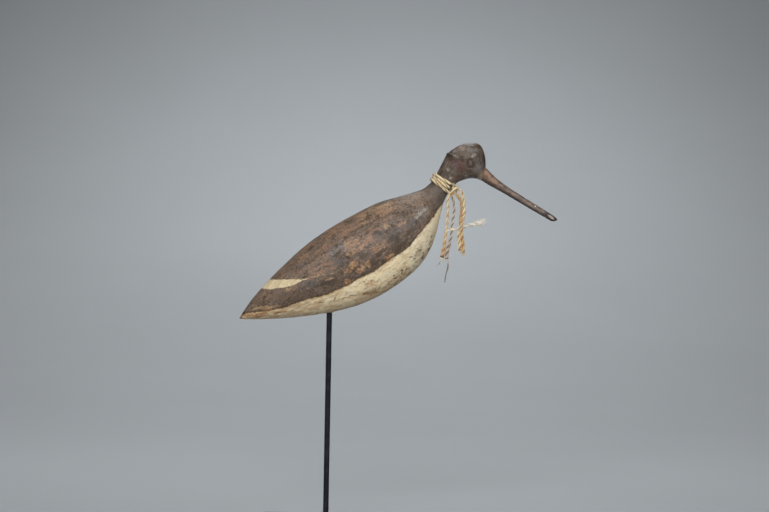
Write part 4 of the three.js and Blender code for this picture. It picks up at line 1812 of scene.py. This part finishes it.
@dataclass(frozen=True)
class Twine:
    """Two-ply twine, as a closed mesh along a centre line.

    Attributes:
        diameter: The twine's diameter in metres.
        ply_radius: Radius of one ply.
        ply_offset: How far a ply's middle is from the twine's.
        lay: Length in which the plies go once round.
        sides: Points in each ring.
        ring_gap: Distance between rings.
        bulges: How far its two ends bulge.
        unevenness: How much its thickness varies, as a share.
    """

    diameter: float = 0.0024
    ply_radius: float = 0.00096
    ply_offset: float = 0.00036
    lay: float = 0.0128
    sides: int = 28
    ring_gap: float = 0.00035
    bulges: Pair = (0.0002, 0.0003)
    unevenness: float = 0.05

    def centre_line(self, points: Array) -> tuple[Array, Array]:
        """Evenly spaced points on the smooth line through a route.

        Args:
            points: The route, one point a row, in metres.

        Returns:
            The points, and how far along each is.
        """
        fine = smooth_line(points, np.linspace(0, 1, ROUTE_STEPS * len(points)))
        reached = travelled(fine)
        along = np.linspace(0, reached[-1], round(reached[-1] / self.ring_gap))
        return np.column_stack([np.interp(along, reached, fine[:, axis]) for axis in range(3)]), along

    def frames(self, line: Array) -> tuple[Array, Array, Array]:
        """Directions along and across the line that don't spin round it.

        Args:
            line: The centre line, one point a row.

        Returns:
            The tangents and two directions across.
        """
        tangents = np.gradient(line, axis=0)
        tangents /= np.linalg.norm(tangents, axis=1, keepdims=True)
        across = np.zeros_like(line)
        start = np.cross(tangents[0], (0.0, 1.0, 0.0))
        if np.linalg.norm(start) < 0.1:
            start = np.cross(tangents[0], (1.0, 0.0, 0.0))
        across[0] = start / np.linalg.norm(start)
        for index in range(1, len(line)):
            carried = across[index - 1] - tangents[index] * np.dot(across[index - 1], tangents[index])
            across[index] = carried / np.linalg.norm(carried)
        return tangents, across, np.cross(tangents, across)

    def rings(self, line: Array, angles: Array, radii: Array) -> Array:
        """Rings of points round a line.

        Args:
            line: The line, one point a row.
            angles: The points' angles, in one row for all rings or a row for each.
            radii: Their distances from the line, in one column for all or a column for each.

        Returns:
            An array of rings, points and coordinates.
        """
        _, across, beside = self.frames(line)
        aside, up = radii * np.cos(angles), radii * np.sin(angles)
        return line[:, None] + aside[:, :, None] * across[:, None] + up[:, :, None] * beside[:, None]

    def shape(self, points: Array, phase: float, swelling: Pair = (0.0, 0.006)) -> dict:
        """The twisted mesh along a route.

        Args:
            points: The route, one point a row, in metres.
            phase: Where in its twist the twine starts, in turns.
            swelling: How much thicker the last stretch is, as a share, and that stretch's length in metres.

        Returns:
            Vertices, faces and layers, with the centre line.
        """
        line, along = self.centre_line(points)
        angles, offset = circle(self.sides), self.ply_offset
        reach = offset * np.abs(np.cos(angles)) + np.sqrt(self.ply_radius**2 - (offset * np.sin(angles)) ** 2)
        spun = angles + 2 * np.pi * (along / self.lay + phase)[:, None]
        noise_places = np.column_stack([along, 0 * along, 0 * along + 0.003 * phase])
        swell = 1 + self.unevenness * LatticeNoise(31, 0.003).at(noise_places)
        swell *= 1 + swelling[0] * fade(along, along[-1] - swelling[1], along[-1] - 0.3 * swelling[1])
        vertices, faces = closed_loft(self.rings(line, spun, reach * swell[:, None]), *self.bulges)
        side = np.sign(np.cos(angles) + 1e-9)
        local = np.arctan2(reach * np.sin(angles), reach * np.cos(angles) - side * offset)
        rows = np.concatenate([along[:1], along, along[-1:]]) / MM
        strand = np.zeros((len(rows), self.sides, 3))
        strand[:, :, 0] = np.cos(local) + 3 * side
        strand[:, :, 1] = np.sin(local)
        strand[:, :, 2] = rows[:, None]
        ends = np.array([[0, 0, rows[0]], [0, 0, rows[-1]]])
        return {
            "vertices": vertices,
            "faces": faces,
            "strand": np.vstack([strand.reshape(-1, 3), ends]),
            "crown": np.append(np.tile(np.abs(np.cos(angles)), len(rows)), [0.5, 0.5]),
            "line": line,
        }

    def fibre(self, line: Array, radii: Array, sides: int, crown: float) -> dict:
        """One loose fibre or strand.

        Args:
            line: Its line, one point a row, in metres.
            radii: Its radius at each point.
            sides: Points in each ring.
            crown: How bright it is, as the layer for the twine's crown says.

        Returns:
            Vertices, faces and the layer.
        """
        vertices, faces = closed_loft(self.rings(line, circle(sides)[None], radii[:, None]))
        return {"vertices": vertices, "faces": faces, "crown": np.full(len(vertices), crown)}

    def hair(self, start: Array, way: Array, length: float, radius: float, sag: float) -> dict:
        """One short loose fibre.

        Args:
            start: Where it leaves the twine.
            way: The way that it leaves.
            length: Its length in metres.
            radius: Its radius at the root.
            sag: How far its end falls, as a share of its length.

        Returns:
            Vertices and faces.
        """
        shares = np.linspace(0, 1, HAIR_STEPS)
        line = start + way / np.linalg.norm(way) * length * shares[:, None]
        line = line + np.array([0, 0, -sag * length]) * (shares[:, None] ** 2)
        return self.fibre(line, radius * (1 - HAIR_TAPER * shares), HAIR_SIDES, HAIR_CROWN)

    def way_out(self, random: np.random.Generator, frames: tuple[Array, ...], at: int) -> Array:
        """A way straight out of the twine at one of its points, picked at random."""
        angle = random.uniform(0, 2 * np.pi)
        return np.cos(angle) * frames[1][at] + np.sin(angle) * frames[2][at]

    def pick(self, random: np.random.Generator, line: Array, frames: tuple[Array, ...]) -> tuple:
        """A place on the twine, picked at random.

        Args:
            random: The random numbers.
            line: The centre line.
            frames: Its directions along and across.

        Returns:
            The point just inside the twine, the way out of it and the way along it.
        """
        at = int(random.integers(4, len(line) - 4))
        out = self.way_out(random, frames, at)
        return line[at] + out * self.diameter * HAIR_ROOT, out, frames[0][at]


def join_shapes(name: str, shapes: list[dict]) -> Piece:
    """One object of several shapes with their layers.

    Args:
        name: The piece's name.
        shapes: Vertices, faces and layers of each.

    Returns:
        The object.
    """
    faces, strands, start = [], [], 0
    for shape in shapes:
        count = len(shape["vertices"])
        faces.extend(tuple(corner + start for corner in face) for face in shape["faces"])
        strands.append(shape.get("strand", np.tile([start % 7, start % 5, start % 11], (count, 1))))
        start += count
    piece = new_piece(name, np.vstack([shape["vertices"] for shape in shapes]), faces)
    crown = np.concatenate([shape["crown"] for shape in shapes])
    write_layers(piece, strand=np.vstack(strands).astype(float), crown=crown)
    return piece


# Ranges for the hairs along a free end: how much they point out and ahead, their length in
# metres, and their thickness as a share
OUT, AHEAD, LENGTH, THICKNESS = (0.3, 1.0), (0.4, 1.2), (0.0012, 0.0038), (0.7, 1.3)

# The same for the hairs at its tip, as shares, with how far from its middle they start
TIP_ROOT, TIP_OUT, TIP_LENGTH, TIP_THICKNESS = (0.1, 0.45), (0.2, 1.6), (0.5, 1.2), (0.6, 1.35)

# How far before its tip a free end starts to look aged and is wholly so, in millimetres
AGED_FROM, AGED_TO = 28, 10

# How dark the burnt tip of the twine and the painted shade in the knot's gaps are, and the tips of its fibres
BURNT_TIP_AND_KNOT_SHADE, BURNT_FIBRES = 0.9, 0.7


class Stiffness(Enum):
    """How stiff a free end is."""

    LIMP = "limp"
    STIFF = "stiff"


@dataclass(frozen=True)
class FreeEnd:
    """One free end of the twine with its loose fibres.

    Attributes:
        node: The CAD node that it replaces.
        name: The piece's name.
        phase: Where in its twist it starts.
        stiffness: How stiff it is. It is not used.
        hairs: Loose fibres along it.
        hair_radius: Radius of those fibres in metres.
        fray: Loose fibres at its tip.
        fray_length: Length of those in metres.
        spread: How far they spread, as a share of their length.
        burnt: How long the dark tip is, in millimetres.
        swelling: How much thicker its last stretch is, and that stretch's length in metres.
        aged: How brown its last stretch is.
        tuft: The length over which the loose fibres at its tip start, in metres.
        fray_radius: Radius of those fibres in metres.
        loose_strands: Longer strands at the tip: routes in millimetres and radius.
    """

    node: str
    name: str
    phase: float
    stiffness: Stiffness = Stiffness.LIMP
    hairs: int = 40
    hair_radius: float = 0.00007
    fray: int = 16
    fray_length: float = 0.003
    spread: float = 0.35
    burnt: float = 0.8
    swelling: Pair = (0.0, 0.006)
    aged: float = 0.0
    tuft: float = 0.0008
    fray_radius: float = 0.00015
    loose_strands: tuple = ()

    def build(self, twine: Twine, material: Material) -> None:
        """Args:
            twine: The twine.
            material: Its material.
        """
        route = np.array(TAIL_ROUTES[self.node]) * MM
        shape = twine.shape(route, self.phase, self.swelling)
        line, along = shape["line"], shape["strand"][:, 2]
        piece = join_shapes(self.name, [shape])
        burnt = BURNT_TIP_AND_KNOT_SHADE * fade(along, along.max() - self.burnt, along.max())
        aged = self.aged * fade(along, along.max() - AGED_FROM, along.max() - AGED_TO)
        write_layers(piece, burnt=burnt, aged=aged)
        dress(piece, material)
        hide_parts(self.node)
        fibres = self.fibres(twine, line)
        end = (line[-1] - line[-4]) / np.linalg.norm(line[-1] - line[-4])
        beyond = (mesh_vectors(fibres.data) - line[-1]) @ end
        burnt = BURNT_FIBRES * fade(beyond / self.fray_length, 0.7, 2.2)
        write_layers(fibres, burnt=burnt)
        dress(fibres, material)

    def fibres(self, twine: Twine, line: Array) -> Piece:
        """The loose fibres along the twine and at its tip.

        Args:
            twine: The twine.
            line: Its centre line.

        Returns:
            One object.
        """
        random = np.random.default_rng(round(100 * self.phase) + 7)
        frames = twine.frames(line)
        shapes = []
        for _ in range(self.hairs):
            start, out, ahead = twine.pick(random, line, frames)
            way = out * random.uniform(*OUT) + ahead * random.choice([-1, 1]) * random.uniform(*AHEAD)
            length = random.uniform(*LENGTH)
            radius = self.hair_radius * random.uniform(*THICKNESS)
            shapes.append(twine.hair(start, way, length, radius, HANGING_SAG))
        for _ in range(self.fray):
            out = twine.way_out(random, frames, -1)
            back = 1 + int(random.uniform(0, self.tuft) / twine.ring_gap)
            start = line[-back] + out * twine.diameter * random.uniform(*TIP_ROOT)
            way = frames[0][-1] + out * self.spread * random.uniform(*TIP_OUT)
            length = self.fray_length * random.uniform(*TIP_LENGTH)
            radius = self.fray_radius * random.uniform(*TIP_THICKNESS)
            shapes.append(twine.hair(start, way, length, radius, HELD_SAG))
        for route, radius in self.loose_strands:
            shares = np.linspace(0, 1, STRAND_STEPS)
            radii = radius * (1 - STRAND_TAPER * shares**2)
            line = smooth_line(np.array(route) * MM, shares)
            shapes.append(twine.fibre(line, radii, STRAND_SIDES, STRAND_CROWN))
        return join_shapes(f"{self.name}_fibres", shapes)


@dataclass(frozen=True)
class Collar:
    """The twine wound three times round the neck, and its knot.

    Attributes:
        carving: The body that it lies on.
        twine: The twine.
        hairs: Loose fibres on it.
        hair_radius: Radius of those fibres in metres.
        hair_out: The range in which they point out, where 1 is as much as ahead.
        hair_length: The range of their lengths in metres.
        phases: Where in their twist the winding, the knot's strands and the leads start, in turns.
        darkened: X and Z of the painted shade in the knot's gaps, in millimetres.
        knot_shade_radius: Their radius, in millimetres.
    """

    carving: Carving
    twine: Twine
    hairs: int = 90
    hair_radius: float = 0.00007
    hair_out: Pair = (0.3, 0.8)
    hair_length: Pair = (0.001, 0.003)
    phases: tuple[float, ...] = (0.1, 0.3, 0.67, 0.15, 0.38, 0.61, 0.84)
    darkened: tuple = ((107.9, 312.4), (107.7, 310.0))
    knot_shade_radius: float = 1.7

    def on_neck(self, far: float, angle: float, layer: float) -> Array:
        """A point on a strand laid round the neck.

        Args:
            far: Sections past the neck's narrowest one.
            angle: The angle from the throat over the bird's right flank, in radians.
            layer: 1 where the strand lies on the wood, 2 where it lies on another strand.

        Returns:
            The point in metres.
        """
        share = (NECK_SECTION + far) / (len(self.carving.sections) - 1)
        middle, rise, half_width = (part[0] for part in self.carving.section(np.array([share])))
        stand = NECK_CLEARANCE + (layer - 0.5) * self.twine.diameter
        height = np.linalg.norm(rise)
        point = middle - rise * (height + stand) / height * fuller(np.cos(angle), BODY_POWER)
        point[1] = -(half_width + stand) * fuller(np.sin(angle), BODY_POWER)
        return point

    def turns(self) -> Array:
        """The centre line of the turns, from the knot round the neck and back to it.

        Returns:
            One point a row, in metres.
        """
        points = []
        for turn, nape in enumerate(NAPE_CROSSINGS):
            last_turn = turn == len(NAPE_CROSSINGS) - 1
            for step in range(COLLAR_STEPS - (LAST_TURN_SHORT if last_turn else 0)):
                angle = 2 * math.pi * step / COLLAR_STEPS
                throat = THROAT_CROSSINGS[turn if angle <= math.pi else turn + 1]
                share = (1 - math.cos(angle)) / 2
                layer = 1 + (NAPE_LAYERS[turn] - 1) * share
                points.append(self.on_neck(throat + (nape - throat) * share, angle, layer))
        return np.array(points)

    def build(self, material: Material) -> None:
        """Builds the collar in place of its node.

        Args:
            material: The twine's material.
        """
        routes = [self.turns()]
        for strand in KNOT_ON_NECK:
            points = [self.on_neck(far, math.radians(angle), layer) for far, angle, layer in strand]
            routes.append(np.array(points))
        shapes = [self.twine.shape(route, phase) for route, phase in zip(routes, self.phases)]
        on_neck = sum(len(shape["vertices"]) for shape in shapes)
        for lead, phase in zip(KNOT_LEADS, self.phases[len(routes) :]):
            shapes.append(self.twine.shape(np.array(lead) * MM, phase))
        random = np.random.default_rng(5)
        line = shapes[0]["line"]
        frames = self.twine.frames(line)
        for _ in range(self.hairs):
            start, out, ahead = self.twine.pick(random, line, frames)
            way = out * random.uniform(*self.hair_out) + ahead * random.choice([-1, 1])
            length = random.uniform(*self.hair_length)
            shapes.append(self.twine.hair(start, way, length, self.hair_radius, HELD_SAG))
        piece = join_shapes("wound_collar", shapes)
        # Painted shade in the gaps of the knot, laid in the layer for dark ends
        places = mesh_vectors(piece.data) / MM
        away = [np.hypot(places[:, 0] - x, places[:, 2] - z) / self.knot_shade_radius for x, z in self.darkened]
        burnt = BURNT_TIP_AND_KNOT_SHADE * np.exp(-np.minimum.reduce(away) ** 4) * (np.arange(len(places)) < on_neck)
        write_layers(piece, burnt=burnt)
        dress(piece, material)
        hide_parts("twine_collar")


@dataclass(frozen=True)
class Stand:
    """The steel rod and its foot, which keep their CAD shape."""

    nodes: tuple[str, ...] = ("stand_rod", "stand_base")

    def build(self, material: Material) -> None:
        """Dresses the rod and the foot.

        Args:
            material: The steel.
        """
        for name in self.nodes:
            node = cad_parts[name]
            node.data.materials.clear()
            node.data.materials.append(material)
            log.info("%s: dressed", name)


def free_ends() -> list[tuple[FreeEnd, TwineFibre]]:
    """The five free ends, each with its own tint of twine.

    Returns:
        Each end with its fibre.
    """
    left = FreeEnd(
        "twine_tail_left", "left_end", 0.18, hairs=90, burnt=2.2, swelling=(0.4, 0.026), aged=1.0,
        loose_strands=LEFT_WISPS,
    )
    middle = FreeEnd(
        "twine_tail_middle", "middle_end", 0.41, hairs=80, swelling=(0.36, 0.024), aged=0.45,
        loose_strands=MIDDLE_WISPS,
    )
    outer = FreeEnd(
        "twine_tail_outer", "outer_end", 0.06, hairs=210, hair_radius=0.00012, swelling=(0.22, 0.055)
    )
    inner = FreeEnd(
        "twine_tail_inner", "inner_end", 0.72, hairs=190, hair_radius=0.00012, fray=20,
        swelling=(0.22, 0.05),
    )
    cross = FreeEnd(
        "twine_cross_end", "cross_end", 0.33, Stiffness.STIFF, hairs=70, fray=290, burnt=0.1,
        fray_length=0.0042, spread=0.75, swelling=(0.5, 0.013), tuft=0.0085, fray_radius=0.00028,
    )
    greyed = TwineFibre(
        "twine middle", straw=screen(204, 190, 172), pale=screen(236, 222, 206),
        stain=screen(176, 138, 112), shadow=screen(62, 50, 44), stained=0.2, start=17.0, groove=0.9,
    )
    golden = TwineFibre(
        "twine inner", straw=screen(224, 190, 136), pale=screen(246, 222, 172),
        shadow=screen(140, 84, 42), stained=0.7, start=44.0, groove=0.66,
    )
    bleached = TwineFibre(
        "twine cross", straw=screen(250, 238, 216), pale=screen(255, 252, 242), stained=0.15, start=58.0
    )
    return [
        (left, TwineFibre("twine left", stained=0.45, start=3.0)),
        (middle, greyed),
        (outer, TwineFibre("twine outer", shadow=screen(150, 92, 48), start=31.0, groove=0.66)),
        (inner, golden),
        (cross, bleached),
    ]


def main() -> None:
    """Builds the camera, the twine, the bird, the stand and the studio, in that order."""
    logging.basicConfig(level=logging.INFO, format="%(name)s: %(message)s")
    bpy.context.scene.view_settings.view_transform = "Standard"
    Viewpoint().build()
    twine = Twine()
    for end, fibre in free_ends():
        end.build(twine, fibre.build())
    body, bill = DecoyBody(), Bill()
    wound = Twine(ply_radius=0.00116, ply_offset=0.00026, lay=0.02)
    wound_fibre = TwineFibre("twine collar", straw=screen(240, 216, 166), stained=0.3, start=70.0)
    Collar(body.carving, wound).build(wound_fibre.build())
    effects = Effects(GrainEffect(), MottleEffect(), RaggedEffect())
    body.build(bill.carving, PaintedWood().build(effects))
    bill.build(BareWood().build(effects))
    Stand().build(BlackSteel().build(effects))
    Studio().build()


if __name__ == "__main__":
    main()
